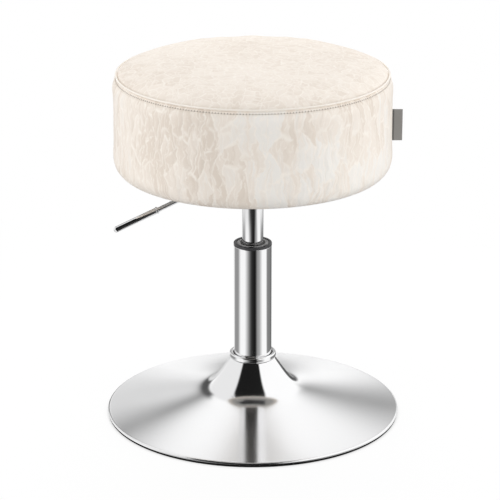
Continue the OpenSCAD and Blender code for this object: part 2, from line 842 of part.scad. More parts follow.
// Dust cover, stretched over the board and the hem
module dust_cover() {
  color("dimgray") difference() {
    rotate_extrude() polygon([
      [0, board_z - dust_t],
      [hem_r - dust_slope_w, board_z - dust_t],
      [hem_r, seat_bottom_z - dust_t],
      [dust_r, seat_bottom_z - dust_t],
      [dust_r, seat_bottom_z],
      [hem_r, seat_bottom_z],
      [hem_r - dust_slope_w, board_z],
      [0, board_z]
    ]);
    mechanism() for (p = bolt_places) translate(p) ring(bolt_hole_r, 0, plate_z, plate_t + dust_t + cut);
  }
}

// Staples: a crown on the dust cover and two legs up into the board
module staples() {
  color("silver") for (i = [0 : staple_count - 1]) rotate([0, 0, 360 * i / staple_count])
    translate([staple_r, 0, seat_bottom_z - dust_t - staple_t]) {
      translate([-staple_t / 2, -staple_w / 2, 0]) cube([staple_t, staple_w, staple_t]);
      for (side = [0, 1]) mirror([0, side, 0])
        translate([-staple_t / 2, staple_w / 2 - staple_t, 0]) cube([staple_t, staple_t, staple_t + staple_leg]);
    }
}

// Blank folded tag, with a round fold along its outer edge
module side_tag() {
  color("gray") {
    translate([seat_r - tag_root, -tag_t / 2, tag_z]) cube([tag_root + tag_out - tag_fold_r, tag_t, tag_h]);
    translate([seat_r + tag_out - tag_fold_r, 0, 0]) ring(tag_fold_r, 0, tag_z, tag_h);
  }
}

base_shell();
base_edging();
neck_ring();
base_hub();
hub_plate();
outer_tube();
tube_end_plate();
tube_collar();
guide_bush();
wiper_ring();
lower_race();
piston_rod();
piston_head();
piston_seal();
upper_race();
support_washer();
bump_stop();
rod_washer();
rod_clip();
bearing_cage();
bearing_balls();
gas_cylinder();
rod_gland();
gland_seal();
pressure_tube();
valve_body();
valve_seals();
taper_socket();
mechanism_channel();
mounting_plate();
pivot_pin();
pivot_clip();
pivot_spacers();
mounting_bolts();
bolt_washers();
tee_nuts();
seat_board();
seat_foam();
top_cover();
side_band();
seam_welt();
dust_cover();
staples();
side_tag();
lever_arm();
lever_rod();
lever_shoulder();
lever_grip();
valve_pin();
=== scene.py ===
"""Looks of a round vanity stool: the padded seat, the chrome and the small parts, over the packed solids."""

import functools
import math

import bpy
import numpy as np
from bpy.props import FloatProperty, FloatVectorProperty, IntProperty, PointerProperty
from bpy.types import Operator, Panel, PropertyGroup
from mathutils import Matrix, Vector


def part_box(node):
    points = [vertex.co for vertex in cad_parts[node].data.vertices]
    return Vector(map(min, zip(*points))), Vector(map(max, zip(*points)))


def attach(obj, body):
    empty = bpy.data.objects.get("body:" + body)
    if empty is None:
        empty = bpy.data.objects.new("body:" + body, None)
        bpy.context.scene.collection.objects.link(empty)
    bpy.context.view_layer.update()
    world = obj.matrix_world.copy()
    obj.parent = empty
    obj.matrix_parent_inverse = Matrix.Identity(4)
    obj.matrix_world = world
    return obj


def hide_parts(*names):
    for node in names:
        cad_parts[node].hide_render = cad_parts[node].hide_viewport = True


bl_info = {
    "name": "Vanity stool",
    "version": (1, 0, 0),
    "blender": (4, 5, 0),
    "location": "3D View > Sidebar > Stool",
    "description": "Dresses the solids of a gas lift vanity stool and lights them",
    "category": "Object",
}

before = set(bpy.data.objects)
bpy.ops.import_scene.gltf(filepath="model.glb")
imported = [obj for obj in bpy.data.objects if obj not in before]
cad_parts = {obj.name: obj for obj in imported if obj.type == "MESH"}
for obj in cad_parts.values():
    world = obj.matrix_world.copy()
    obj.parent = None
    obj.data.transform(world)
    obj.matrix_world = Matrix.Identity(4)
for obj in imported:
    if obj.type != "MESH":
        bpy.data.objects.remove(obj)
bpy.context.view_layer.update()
MM = 0.001


# Properties

def words(text):
    """A property's name, which the text gives before the colon, and its description, the whole text."""
    return {"name": text.split(":")[0], "description": text}


def length(text, default):
    """A length in metres."""
    return FloatProperty(**words(text), default=default, unit="LENGTH", precision=4)


def angle(text, degrees):
    """An angle, given in degrees and kept in radians."""
    return FloatProperty(**words(text), default=math.radians(degrees), unit="ROTATION")


def share(text, default):
    """A plain number."""
    return FloatProperty(**words(text), default=default, precision=3)


def count(text, default):
    """A whole number."""
    return IntProperty(**words(text), default=default, min=1)


def colour(text, *default):
    """A linear colour."""
    return FloatVectorProperty(**words(text), default=default, subtype="COLOR", size=3, min=0, max=1)


def top_of(node):
    """The highest point of a solid of the frame."""
    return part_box(node)[1].z


def foot_of(node):
    """The lowest point of a solid of the frame."""
    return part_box(node)[0].z


def radius_of(node):
    """The radius of a solid that is turned about the column."""
    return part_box(node)[1].x


class BaseSizes(PropertyGroup):
    """Sizes of the trumpet base."""

    rim_radius: length("Rim radius: over the rolled rim", radius_of("base_shell"))
    rim_height: length("Rim height: where the dish meets the rolled rim", 6.2 * MM)
    lip_radius: length("Lip radius: of the rolled rim's section", 2.2 * MM)
    lip_foot: length("Lip foot: height of the rolled rim's lower edge", foot_of("base_shell") + 0.6 * MM)
    neck_radius: length("Neck radius: outer radius at the top of the neck", 29 * MM)
    neck_height: length("Neck height: of the top of the neck", top_of("base_shell"))
    wall: length("Wall: thickness of the spun sheet", 2 * MM)
    dish_slope: share("Dish slope: fall of the dish for each unit of radius, at the rim", 0.165)
    dish_bow: share("Dish bow: slope that the dish gains up to the foot of the neck's cone", 0.085)
    cone_foot: length("Cone foot: radius at the foot of the neck's cone", 57 * MM)
    cone_bend: length("Cone bend: distance in which the neck's cone bends into the dish", 5 * MM)
    edging_width: length("Edging width: of the black edging under the rim", 9 * MM)
    edging_round: length("Edging round: radius of its corners", 0.7 * MM)
    ring_round: length("Ring round: corner radius of the neck ring's section", 1.9 * MM)
    ring_bore: length("Ring bore: inner radius of the neck ring", 26.3 * MM)


class ColumnSizes(PropertyGroup):
    """Sizes of the outer tube and the gas cylinder."""

    tube_radius: length("Tube radius: outer radius of the outer tube", radius_of("outer_tube"))
    tube_wall: length("Tube wall: of the outer tube", 1.5 * MM)
    foot_in: length("Foot taper: how much the tube's foot narrows", 1.5 * MM)
    foot_top: length("Foot top: height where the tapered foot ends", 70 * MM)
    foot_lip: length("Foot lip: width of the lip that is rolled in under the foot", 3.5 * MM)
    tube_edge: length("Tube edge: radius of the tube's top edge", 0.5 * MM)
    cylinder_radius: length("Cylinder radius: outer radius of the gas cylinder", radius_of("gas_cylinder"))
    cylinder_wall: length("Cylinder wall: of the gas cylinder", 1.5 * MM)
    taper_height: length("Taper height: of the cylinder's taper in its socket", 28 * MM)
    taper_in: length("Taper: how much the cylinder narrows at its top", 0.7 * MM)
    cylinder_edge: length("Cylinder edge: radius of the cylinder's ends", 1.4 * MM)
    end_wall: length("End wall: thickness of both tubes' rolled-in ends", 2 * MM)


class SeatSizes(PropertyGroup):
    """Sizes of the padded seat."""

    radius: length("Seat radius: of the side", radius_of("side_band"))
    seam_radius: length("Seam radius: of the top seam", radius_of("top_cover"))
    seam_height: length("Seam height: of the top seam", foot_of("top_cover"))
    crown: length("Crown: height of the crown over the seam", top_of("top_cover") - foot_of("top_cover"))
    crown_power: share("Crown power: of the crown's outline, which is flatter with more", 6.0)
    roll: length("Roll: height of the panel's small roll over the seam", 1.8 * MM)
    shoulder: length("Shoulder: height over which the side swells out below the seam", 18 * MM)
    bottom: length("Bottom: height of the seat's underside", foot_of("side_band"))
    bottom_round: length("Bottom round: size of the round at the lower edge", 30 * MM)
    bottom_power: share("Bottom power: of the lower edge's outline", 2.8)
    board_radius: length("Board radius: of the plywood board", radius_of("seat_board"))
    hem: length("Hem: width of the cover turned under the board", 20 * MM)
    welt_radius: length("Welt radius: of its section", 1.2 * MM)
    stitch_drop: length("Stitch drop: distance of the stitch row below the seam", 4.6 * MM)
    fold_drop: length("Fold drop: distance of the folded allowance's edge below the seam", 7.9 * MM)
    stitch_count: count("Stitches: how many lie round the seam", 286)
    dust_radius: length("Dust cover: its radius", radius_of("dust_cover"))
    crease: length("Crease: depth of the cover's creases", 0.6 * MM)
    swell: length("Swell: most that the padding may move in the simulation", 5 * MM)
    inset: length("Inset: how far inside its final shape the padding starts", 2.2 * MM)


class LeverSizes(PropertyGroup):
    """Sizes of the height lever."""

    turn: angle("Turn: direction of the lever about the column", 195)
    droop: angle("Droop: slope of the lever below level", 21.8)
    height: length("Height: of the lever's arm over the floor", 327.5 * MM)
    start: length("Start: distance of the rod's inner end from the column's axis", 34 * MM)
    corner: length("Corner: distance of the bend's corner from the column's axis", 44.75 * MM)
    bend: length("Bend: radius of the rod's bend", 14 * MM)
    reach: length("Reach: distance of the lever's tip from the column's axis", 187 * MM)
    rod: length("Rod: its radius", 3 * MM)
    grip: length("Grip: its radius", 4 * MM)
    grip_length: length("Grip length: along the lever", 61 * MM)
    grip_bore: length("Grip bore: depth of the bore that the rod sits in", 20 * MM)
    shoulder: length("Shoulder: length of the shoulder ring before the grip", 2.4 * MM)


class TagSizes(PropertyGroup):
    """Sizes of the blank folded tag."""

    height: length("Height: of the tag", top_of("side_tag") - foot_of("side_tag"))
    foot: length("Foot: height of the tag's lower edge", foot_of("side_tag"))
    tip: length("Tip: distance of the tag's fold from the column's axis", radius_of("side_tag"))
    ribbon: length("Ribbon: its thickness", 0.45 * MM)
    wave: length("Wave: how far the tag waves to either side", 0.45 * MM)


class StoolColours(PropertyGroup):
    """Colours of the stool."""

    cream: colour("Cream: cover of the seat", 0.88, 0.80, 0.715)
    beige: colour("Beige: darker streaks of the cover", 0.79, 0.70, 0.61)
    milk: colour("Milk: cool pale patches of the cover", 0.90, 0.87, 0.825)
    vein: colour("Vein: fine creases of the cover", 0.96, 0.90, 0.825)
    chrome: colour("Chrome: polished and satin chrome", 0.96, 0.96, 0.965)
    rubber: colour("Rubber: edging and seals", 0.004, 0.004, 0.004)
    plastic: colour("Plastic: collar of the tube", 0.045, 0.045, 0.048)
    bush: colour("Bush: guide bush in the collar", 0.62, 0.62, 0.625)
    tag: colour("Tag: ribbon of the tag", 0.31, 0.305, 0.295)
    dust: colour("Dust cover: non-woven cloth under the seat", 0.6, 0.58, 0.55)


class StudioSizes(PropertyGroup):
    """Camera, lamps and cards."""

    camera_back: length("Camera back: distance of the camera in front of the column", 3.084)
    camera_up: length("Camera up: height of the camera", 1.297)
    camera_side: length("Camera side: offset of the camera to the right", -0.0018)
    pitch: angle("Pitch: slope of the camera's view below level", 19.12)
    focal: share("Focal length: in mm, for an image 36 mm wide", 177.3)
    shift_x: share("Shift across: of the camera's image", -0.0028)
    shift_y: share("Shift up: of the camera's image", -0.0009)
    sky: share("Sky: light from all round", 0.75)
    side_lamp: share("Side lamps: power of each side lamp, in watts", 18.5)
    top_lamp: share("Top lamp: power of the lamp behind, in watts", 23.5)


GROUPS = {
    "stool_base": BaseSizes,
    "stool_column": ColumnSizes,
    "stool_seat": SeatSizes,
    "stool_lever": LeverSizes,
    "stool_tag": TagSizes,
    "stool_colours": StoolColours,
    "stool_studio": StudioSizes,
}


# Surfaces

def arc(centre, radius, start, stop, steps=8):
    """Points on a circle: the centre plus the radius times the cosine and sine of each angle."""
    a = np.radians(np.linspace(start, stop, steps))
    return np.stack([centre[0] + radius * np.cos(a), centre[1] + radius * np.sin(a)], 1)


def round_box(inner, outer, low, high, radius):
    """A rectangle with rounded corners, as a closed outline that runs down its outer side."""
    corners = (
        (outer - radius, high - radius, 90),
        (outer - radius, low + radius, 0),
        (inner + radius, low + radius, -90),
        (inner + radius, high - radius, -180),
    )
    return np.vstack([arc((r, z), radius, a, a - 90) for r, z, a in corners])


def firm(outline, gap=0.4 * MM, closed=True):
    """An outline with a point near both ends of each long straight, so that shading bends only there."""
    ends = np.roll(outline, -1, axis=0)
    long = np.linalg.norm(ends - outline, axis=1) > 4 * gap
    long[-1] &= closed
    way = (ends - outline) / np.linalg.norm(ends - outline, axis=1).clip(1e-9)[:, None] * gap
    points = np.stack([outline, outline + way, ends - way], 1)
    keep = np.stack([np.ones(len(outline), bool), long, long], 1)
    return points[keep]


def along(outline):
    """The distance of each point of an outline from its start, measured along it."""
    return np.concatenate([[0], np.cumsum(np.linalg.norm(np.diff(outline, axis=0), axis=1))])


def respaced(outline, places):
    """The points of an outline at the given distances from its start."""
    run = along(outline)
    return np.stack([np.interp(places, run, outline[:, k]) for k in range(outline.shape[1])], 1)


def outward(outline):
    """Unit vectors square to an outline: its direction turned a quarter to the left."""
    d = np.gradient(outline, axis=0)
    return np.stack([-d[:, 1], d[:, 0]], 1) / np.linalg.norm(d, axis=1)[:, None]


def grid(rows, cols, loop_rows=False, loop_cols=True):
    """The faces of a grid of points, as point numbers, with the row and column of each face's corners."""
    i, j = np.meshgrid(np.arange(rows - (not loop_rows)), np.arange(cols - (not loop_cols)), indexing="ij")
    row = np.stack([i, i + 1, i + 1, i], -1).reshape(-1, 4)
    col = np.stack([j, j, j + 1, j + 1], -1).reshape(-1, 4)
    return row % rows * cols + col % cols, row, col


def turned(outline, turns=256):
    """Points and faces of an (r, z) outline turned about Z: point i, j is (r_i cos t_j, r_i sin t_j, z_i).
    An outline from axis to axis gets a pole at each end, and any other is closed on itself."""
    poles = outline[0, 0] == 0
    rings = outline[1:-1] if poles else outline
    t = np.linspace(0, 2 * math.pi, turns, endpoint=False)
    r, z = rings[:, :1], rings[:, 1:]
    points = np.stack([r * np.cos(t), r * np.sin(t), z + 0 * t], -1).reshape(-1, 3)
    faces = grid(len(rings), turns, loop_rows=not poles)[0].tolist()
    if poles:
        j = np.arange(turns)
        k = (j + 1) % turns
        top, last = len(points), (len(rings) - 1) * turns
        points = np.vstack([points, [0, 0, outline[0, 1]], [0, 0, outline[-1, 1]]])
        faces += np.stack([0 * j + top, j, k], 1).tolist()
        faces += np.stack([0 * j + top + 1, last + k, last + j], 1).tolist()
    return points, faces


def moved(points, matrix):
    """Points carried by a 4 x 4 matrix."""
    m = np.array(matrix)
    return points @ m[:3, :3].T + m[:3, 3]


def piece(name, points, faces, cut=None, corner=35):
    """A smooth mesh object, sharp at edges over the corner angle. Cut is its UV map, corner by corner."""
    mesh = bpy.data.meshes.new(name)
    mesh.from_pydata(points.tolist(), [], faces if isinstance(faces, list) else faces.tolist())
    mesh.polygons.foreach_set("use_smooth", np.ones(len(mesh.polygons), bool))
    mesh.set_sharp_from_angle(angle=math.radians(corner))
    if cut is not None:
        mesh.uv_layers.new(name="cut").data.foreach_set("uv", cut.astype(np.float32).ravel())
    obj = bpy.data.objects.new(name, mesh)
    bpy.context.scene.collection.objects.link(obj)
    return obj


def fit(obj, body, finish, *nodes, slot=None):
    """Puts a finished piece on its body with its material, in place of solids of the frame. Slot is not used.
    """
    obj.data.materials.append(material(finish))
    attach(obj, body)
    if nodes:
        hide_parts(*nodes)
    return obj


def soft_steps(x):
    """0 to 1 with level ends: 3 x squared less 2 x cubed."""
    x = np.clip(x, 0, 1)
    return x * x * (3 - 2 * x)


def ridge(x, middle, width):
    """1 at the middle, falling off to both sides: e to less the square of the way from it over the width."""
    return np.exp(-((x - middle) / width) ** 2)


def soft_noise(u, v, across, down, seed):
    """Smooth noise from -1 to 1: random values at the corners of a lattice, blended with soft steps.
    Its cells are across times down while u and v go from 0 to 1, and it closes on itself along u."""
    table = np.random.default_rng(seed).uniform(-1, 1, (across, down + 2))
    a, b = u * across, np.clip(v, 0, 1) * down
    i, j = np.floor(a).astype(int), np.floor(b).astype(int)
    s, t = soft_steps(a - i), soft_steps(b - j)
    i, k = i % across, (i + 1) % across
    low = table[i, j] * (1 - s) + table[k, j] * s
    high = table[i, j + 1] * (1 - s) + table[k, j + 1] * s
    return low * (1 - t) + high * t


def folds(u, v, across, down, seed):
    """Sharp-crested folds from 0 to 1: one less the size of soft noise, whose zero lines become the crests.
    A second noise shifts the places first, so that the crests run at a slant."""
    shift = soft_noise(u, v, across // 3, max(down // 2, 1), seed + 1)
    return 1 - np.abs(soft_noise(u + 0.55 * shift / across, v, across, down, seed))


# Shader maths

class Value:
    """A shader socket with arithmetic: each sign adds one Math node."""

    def __init__(self, finish, socket):
        self.finish = finish
        self.socket = socket

    def __add__(self, other):
        return self.finish.math("ADD", self, other)

    def __sub__(self, other):
        return self.finish.math("SUBTRACT", self, other)

    def __rsub__(self, other):
        return self.finish.math("SUBTRACT", other, self)

    def __mul__(self, other):
        return self.finish.math("MULTIPLY", self, other)

    __radd__ = __add__
    __rmul__ = __mul__


class Finish:
    """The nodes of one procedural material, or of the sky. It starts empty."""

    def __init__(self, name, sky=False):
        self.owner = (bpy.data.worlds if sky else bpy.data.materials).new(name)
        self.owner.use_nodes = True
        self.tree = self.owner.node_tree
        self.tree.nodes.clear()

    def node(self, kind, values, output=0, **settings):
        """Adds a node: its settings first, then its sockets' values or links."""
        node = self.tree.nodes.new(kind)
        for name, setting in settings.items():
            setattr(node, name, setting)
        for key, value in values.items():
            socket = node.inputs[key]
            if isinstance(value, Value):
                self.tree.links.new(value.socket, socket)
            elif socket.type == "RGBA":
                socket.default_value = (*value, 1)
            else:
                socket.default_value = value
        return Value(self, node.outputs[output]) if node.outputs else None

    def math(self, operation, *values):
        """A Math node."""
        return self.node("ShaderNodeMath", dict(enumerate(values)), operation=operation)

    def vector(self, operation, *values):
        """A Vector Math node."""
        return self.node("ShaderNodeVectorMath", dict(enumerate(values)), operation=operation)

    def mix(self, mask, low, high):
        """A colour between low, where the mask is 0, and high, where it is 1."""
        return self.node("ShaderNodeMix", {0: mask, 6: low, 7: high}, 2, data_type="RGBA")

    def ease(self, value, low, high, start=0.0, stop=1.0):
        """A value eased from start to stop while the input goes from low to high."""
        places = {"Value": value, "From Min": low, "From Max": high, "To Min": start, "To Max": stop}
        return self.node("ShaderNodeMapRange", places, interpolation_type="SMOOTHSTEP")

    def noise(self, place, scale, detail=2.0, roughness=0.5, output="Fac"):
        """Noise on a vector, from 0 to 1."""
        values = {"Vector": place, "Scale": scale, "Detail": detail, "Roughness": roughness}
        return self.node("ShaderNodeTexNoise", values, output)

    def axis(self, vector, name):
        """One of a vector's parts, by its axis."""
        return self.node("ShaderNodeSeparateXYZ", {0: vector}, name)

    def size(self, vector):
        """How long a vector is."""
        return self.node("ShaderNodeVectorMath", {0: vector}, "Value", operation="LENGTH")

    def waves(self, place, scale, distortion):
        """Bands stacked up along Z, from 0 to 1."""
        values = {"Vector": place, "Scale": scale, "Distortion": distortion}
        return self.node("ShaderNodeTexWave", values, "Fac", bands_direction="Z")

    def here(self):
        """Object coordinates, in metres."""
        return self.node("ShaderNodeTexCoord", {}, "Object")

    def drifted(self, place, scale, reach):
        """A vector moved across and down by noise, half the reach at most to each side."""
        drift = self.vector("SUBTRACT", self.noise(place, scale, 2.0, output="Color"), (0.5, 0.5, 0.5))
        return self.vector("ADD", place, self.vector("MULTIPLY", drift, (reach, reach, 0)))

    def facets(self, place, cells):
        """Flat cells on a vector: a random tone for each, and the distance to its edge."""
        values = {"Vector": self.vector("MULTIPLY", place, (*cells, 1)), "Scale": 1.0}
        kind = "ShaderNodeTexVoronoi"
        tone = self.node(kind, values, "Color", voronoi_dimensions="2D", feature="F1")
        edge = self.node(kind, values, "Distance", voronoi_dimensions="2D", feature="DISTANCE_TO_EDGE")
        return self.node("ShaderNodeSeparateColor", {"Color": tone}, "Red"), edge

    def bump(self, height, distance, strength=1.0):
        """Normals bent by a height from 0 to 1, which stands for distance metres."""
        return self.node("ShaderNodeBump", {"Height": height, "Distance": distance, "Strength": strength})

    def surface(self, **sockets):
        """The Principled surface. A socket's name has an underscore for each blank."""
        values = {name.replace("_", " "): value for name, value in sockets.items()}
        shader = self.node("ShaderNodeBsdfPrincipled", values)
        self.node("ShaderNodeOutputMaterial", {"Surface": shader})
        return self.owner


def tint(name, amount=1.0):
    """One of the stool's colours times an amount."""
    return tuple(amount * c for c in getattr(bpy.context.scene.stool_colours, name))


# Finishes

def smeared(f):
    """The sockets of mirror chrome with the faint smears that hands leave."""
    smear = f.noise(f.here(), 38.0, 4.0)
    return {
        "Base_Color": f.mix(smear, tint("chrome", 0.97), tint("chrome")),
        "Roughness": f.ease(smear, 0.35, 0.75, 0.045, 0.085),
        "Normal": f.bump(f.noise(f.here(), 900.0), 0.002 * MM),
    }


def polished_chrome():
    """Mirror chrome."""
    f = Finish("polished_chrome")
    return f.surface(Metallic=1.0, **smeared(f))


def ring_chrome():
    """Mirror chrome with a painted shadow at its foot: a dark, unmetallic line where the ring sits on the
    neck.
    """
    f = Finish("ring_chrome")
    foot = foot_of("neck_ring")
    # Painted shadow: the mask is 1 in a band at the ring's foot, where it meets the neck.
    line = f.ease(f.axis(f.here(), "Z"), foot + 0.9 * MM, foot + 1.5 * MM, 1.0, 0.0)
    sockets = smeared(f)
    sockets["Base_Color"] = f.mix(line, sockets["Base_Color"], (0.02, 0.02, 0.02))
    return f.surface(Metallic=1.0 - line, **sockets)


def satin_chrome():
    """Chrome of the spun base: a polished neck, and a dish with fine turned rings that soften reflections."""
    f = Finish("satin_chrome")
    here = f.here()
    radius = f.size(f.vector("MULTIPLY", here, (1, 1, 0)))
    rings = f.noise(f.node("ShaderNodeCombineXYZ", {"X": radius}), 2600.0, 1.0)
    cloud = f.noise(here, 14.0, 3.0)
    return f.surface(
        Base_Color=f.mix(cloud, tint("chrome", 0.95), tint("chrome")),
        Metallic=1.0,
        Roughness=f.ease(radius, 0.05, 0.06, 0.06, 0.125) + f.ease(cloud, 0.3, 0.7, 0.0, 0.03) + rings * 0.03,
        Anisotropic=0.6,
        Anisotropic_Rotation=0.25,
        Normal=f.bump(rings, 0.003 * MM, 0.35),
    )


def crushed_cover(name, cells, calm, middle, depth, lean=None, holes=None):
    """Crushed faux leather: a cover of flat facets in two sizes with pale creases along their edges. The
    facets' tones are partly the cover's own and partly a painted sheen of facets turned to the light. Cells
    is how many of the larger facets lie in a metre across and down, calm how much its tones keep to the
    middle one, and depth how far the relief stands out. Lean is painted shade and light that turns the tones
    from beige to milk along the turn, and holes is painted shade in the needle holes, both functions of the
    cut."""
    cream, beige, milk, vein = tint("cream"), tint("beige"), tint("milk"), tint("vein")
    f = Finish(name)
    cut = f.node("ShaderNodeUVMap", {}, uv_map="cut")
    place = f.drifted(f.drifted(cut, 17.0, 0.03), 70.0, 0.011)
    tone, edge = f.facets(place, cells)
    shifted = f.vector("ADD", place, (0.31, 0.17, 0))
    small_tone, small_edge = f.facets(shifted, (2.3 * cells[0], 1.6 * cells[1]))
    streak = f.noise(f.vector("MULTIPLY", place, (3.2 * cells[0], 0.8 * cells[1], 1)), 1.0, 3.0)
    zone = f.noise(f.drifted(cut, 9.0, 0.08), 6.5, 1.0)
    # The tones: partly the cover's own, partly a painted sheen of facets turned to the light.
    mood = zone * 0.7 + tone * 0.22 + small_tone * 0.12 + streak * 0.35
    # Painted shade and light: the lean darkens and lightens the tones along the turn.
    if lean:
        mood = mood + lean(f, cut)
    mood = (mood - 0.695) * (1 - calm) + middle
    base = f.mix(f.ease(mood, 0.36, 0.2), cream, beige)
    base = f.mix(f.ease(mood, 0.35, 0.52), base, milk)
    base = f.mix(f.ease(tone * 0.6 + small_tone * 0.4, 0.2, 0.85, 0.0, 0.14), base, vein)
    broken = f.noise(cut, 75.0, 2.0)
    crease = f.ease(edge, 0.0, 0.1, 1.0, 0.0) * f.ease(broken, 0.44, 0.56)
    hair = f.ease(small_edge, 0.0, 0.16, 1.0, 0.0) * f.ease(broken, 0.56, 0.46)
    drawn = f.math("MAXIMUM", crease, hair * 0.7)
    base = f.mix(drawn * 0.9, base, vein)
    # Painted shade: the needle holes darkened to a deep brown.
    if holes:
        base = f.mix(holes(f, cut), base, (0.2, 0.15, 0.12))
    grain = f.noise(cut, 1400.0, 2.0)
    relief = edge * 1.5 + small_edge * 0.7 + drawn * 0.12 + streak * 0.3 + grain * 0.02
    return f.surface(
        Base_Color=base,
        Roughness=f.ease(streak, 0.3, 0.7, 0.52, 0.4),
        Normal=f.bump(relief, depth, 0.7),
    )


def front_painted_shade_and_light(f, cut):
    """Painted shade and light on the front: browner left of its middle, where less light falls, and milkier
    right of it, where more light falls.
    """
    turn = f.axis(cut, "X")
    return f.ease(turn, 0.79, 0.88, -0.06, 0.06) + f.ease(turn, 0.95, 1.02, 0.0, -0.06)


def needle_hole_painted_shade(f, cut):
    """Painted shade in the needle holes between the stitches: dark where the turn over the stitches' pitch is
    close to a half, on the stitches' line."""
    s = bpy.context.scene.stool_seat
    pitch = 2 * math.pi * s.radius / s.stitch_count
    across = f.math("ABSOLUTE", f.math("FRACT", f.axis(cut, "X") * (1 / pitch)) - 0.5) * pitch
    off = f.math("ABSOLUTE", f.axis(cut, "Y") + s.stitch_drop)
    return f.ease(f.math("MAXIMUM", across, off * 0.8), 0.4 * MM, 0.85 * MM, 0.85, 0.0)


def panel_cover():
    """The cover's top panel: rounder facets, calm tones and a fine pale network."""
    return crushed_cover("panel_cover", (66, 74), 0.7, 0.3, 0.6 * MM)


def cream_cover():
    """The cover's side band: facets drawn out upright."""
    return crushed_cover("band_cover", (70, 22), 0.2, 0.345, 1.0 * MM, front_painted_shade_and_light, needle_hole_painted_shade)


def welt_cover():
    """The cover drawn tight over the welt's cord, in the paler vein colour: partly its own tone and partly a
    painted highlight along the round welt.
    """
    return plain("welt_cover", tint("vein"), 0.36, 0.02 * MM, spread=0.03)


def plain(name, shade, roughness, depth, scale=700.0, metallic=0.0, spread=0.12, **more):
    """A fine-grained finish: scale is its noise per metre, depth its relief, spread its change of tone."""
    f = Finish(name)
    grain = f.noise(f.here(), scale, 3.0, 0.6)
    cloud = f.noise(f.here(), scale / 25, 2.0)
    tone = grain * 0.5 + cloud * 0.5
    low = tuple(c * (1 - spread) for c in shade)
    high = tuple(min(c * (1 + spread), 1) for c in shade)
    return f.surface(
        Base_Color=f.mix(f.ease(tone, 0.3, 0.7), low, high),
        Metallic=metallic,
        Roughness=f.ease(tone, 0.3, 0.7, roughness + 0.05, roughness - 0.04),
        Normal=f.bump(grain, depth),
        **more,
    )


def edging_rubber():
    """Black edging under the rim."""
    return plain("edging_rubber", tint("rubber"), 0.7, 0.03 * MM, Specular_IOR_Level=0.1)


def seal_rubber():
    """Wiper, seals and stop."""
    return plain("seal_rubber", tint("rubber"), 0.42, 0.01 * MM)


def collar_plastic():
    """Smooth dark collar."""
    return plain("collar_plastic", tint("plastic"), 0.22, 0.004 * MM)


def bush_plastic():
    """Grey guide bush."""
    return plain("bush_plastic", tint("bush"), 0.4, 0.01 * MM)


def bare_steel():
    """Unplated steel."""
    return plain("bare_steel", (0.42, 0.41, 0.4), 0.38, 0.02 * MM, metallic=1.0)


def bearing_steel():
    """Ground and hardened steel."""
    return plain("bearing_steel", (0.62, 0.62, 0.64), 0.14, 0.002 * MM, metallic=1.0, spread=0.05)


def spring_steel():
    """Blackened spring steel."""
    return plain("spring_steel", (0.12, 0.12, 0.13), 0.34, 0.01 * MM, metallic=1.0)


def cage_brass():
    """Pressed brass."""
    return plain("cage_brass", (0.78, 0.6, 0.3), 0.3, 0.01 * MM, metallic=1.0)


def turned_aluminium():
    """Turned aluminium."""
    return plain("turned_aluminium", (0.78, 0.79, 0.8), 0.3, 0.01 * MM, metallic=1.0)


def black_paint():
    """Powder paint with its orange peel."""
    return plain("black_paint", (0.018, 0.018, 0.02), 0.36, 0.08 * MM, scale=450.0)


def zinc_plate():
    """Bright zinc."""
    return plain("zinc_plate", (0.66, 0.68, 0.7), 0.28, 0.008 * MM, metallic=1.0, spread=0.1)


def nylon():
    """White nylon."""
    return plain("nylon", (0.78, 0.77, 0.72), 0.42, 0.01 * MM, spread=0.04)


def plywood():
    """Birch plywood: veneer grain along X and darker glue lines through its thickness."""
    f = Finish("plywood")
    here = f.here()
    grain = f.noise(f.vector("MULTIPLY", here, (22, 400, 60)), 1.0, 5.0, 0.6)
    plies = f.waves(here, 120.0, 0.4)
    wood = f.mix(grain, (0.62, 0.43, 0.25), (0.78, 0.6, 0.4))
    return f.surface(
        Base_Color=f.mix(plies * 0.35, wood, (0.4, 0.26, 0.14)),
        Roughness=f.ease(grain, 0.3, 0.7, 0.7, 0.55),
        Normal=f.bump(grain, 0.1 * MM),
    )


def foam():
    """Open-celled foam."""
    return plain("foam", (0.85, 0.74, 0.42), 0.85, 0.4 * MM, scale=900.0)


def dust_cloth():
    """Pale non-woven cloth: matted fibres with a dot embossing."""
    f = Finish("dust_cloth")
    here = f.here()
    fibres = f.noise(f.vector("ADD", here, f.noise(here, 160.0, output="Color")), 60.0, 8.0, 0.75)
    dots = f.node("ShaderNodeTexVoronoi", {"Vector": here, "Scale": 420.0, "Randomness": 0.15}, "Distance")
    dent = f.ease(dots, 0.15, 0.45)
    return f.surface(
        Base_Color=f.mix(fibres, tint("dust", 0.8), tint("dust")),
        Roughness=f.ease(fibres, 0.3, 0.7, 0.9, 0.75),
        Normal=f.bump(dent * 0.6 + fibres * 0.4, 0.15 * MM),
    )


def grey_ribbon():
    """Woven ribbon of the tag: fine ribs across, and painted shade on a strip where it leaves the seam."""
    f = Finish("grey_ribbon")
    here = f.here()
    ribs = f.waves(here, 420.0, 0.6)
    fibre = f.noise(f.vector("MULTIPLY", here, (900, 900, 3000)), 1.0, 2.0)
    side = bpy.context.scene.stool_seat.radius
    # Painted shade: the ribbon darkened close to the band, where it goes into the seam.
    root = f.ease(f.axis(here, "X"), side + 1.2 * MM, side + 2.4 * MM, 1.0, 0.0)
    woven = f.mix(ribs * 0.5 + fibre * 0.5, tint("tag", 0.78), tint("tag"))
    return f.surface(
        Base_Color=f.mix(root, woven, tint("tag", 0.33)),
        Roughness=f.ease(fibre, 0.3, 0.7, 0.75, 0.6),
        Normal=f.bump(ribs * 0.6 + fibre * 0.4, 0.08 * MM),
    )


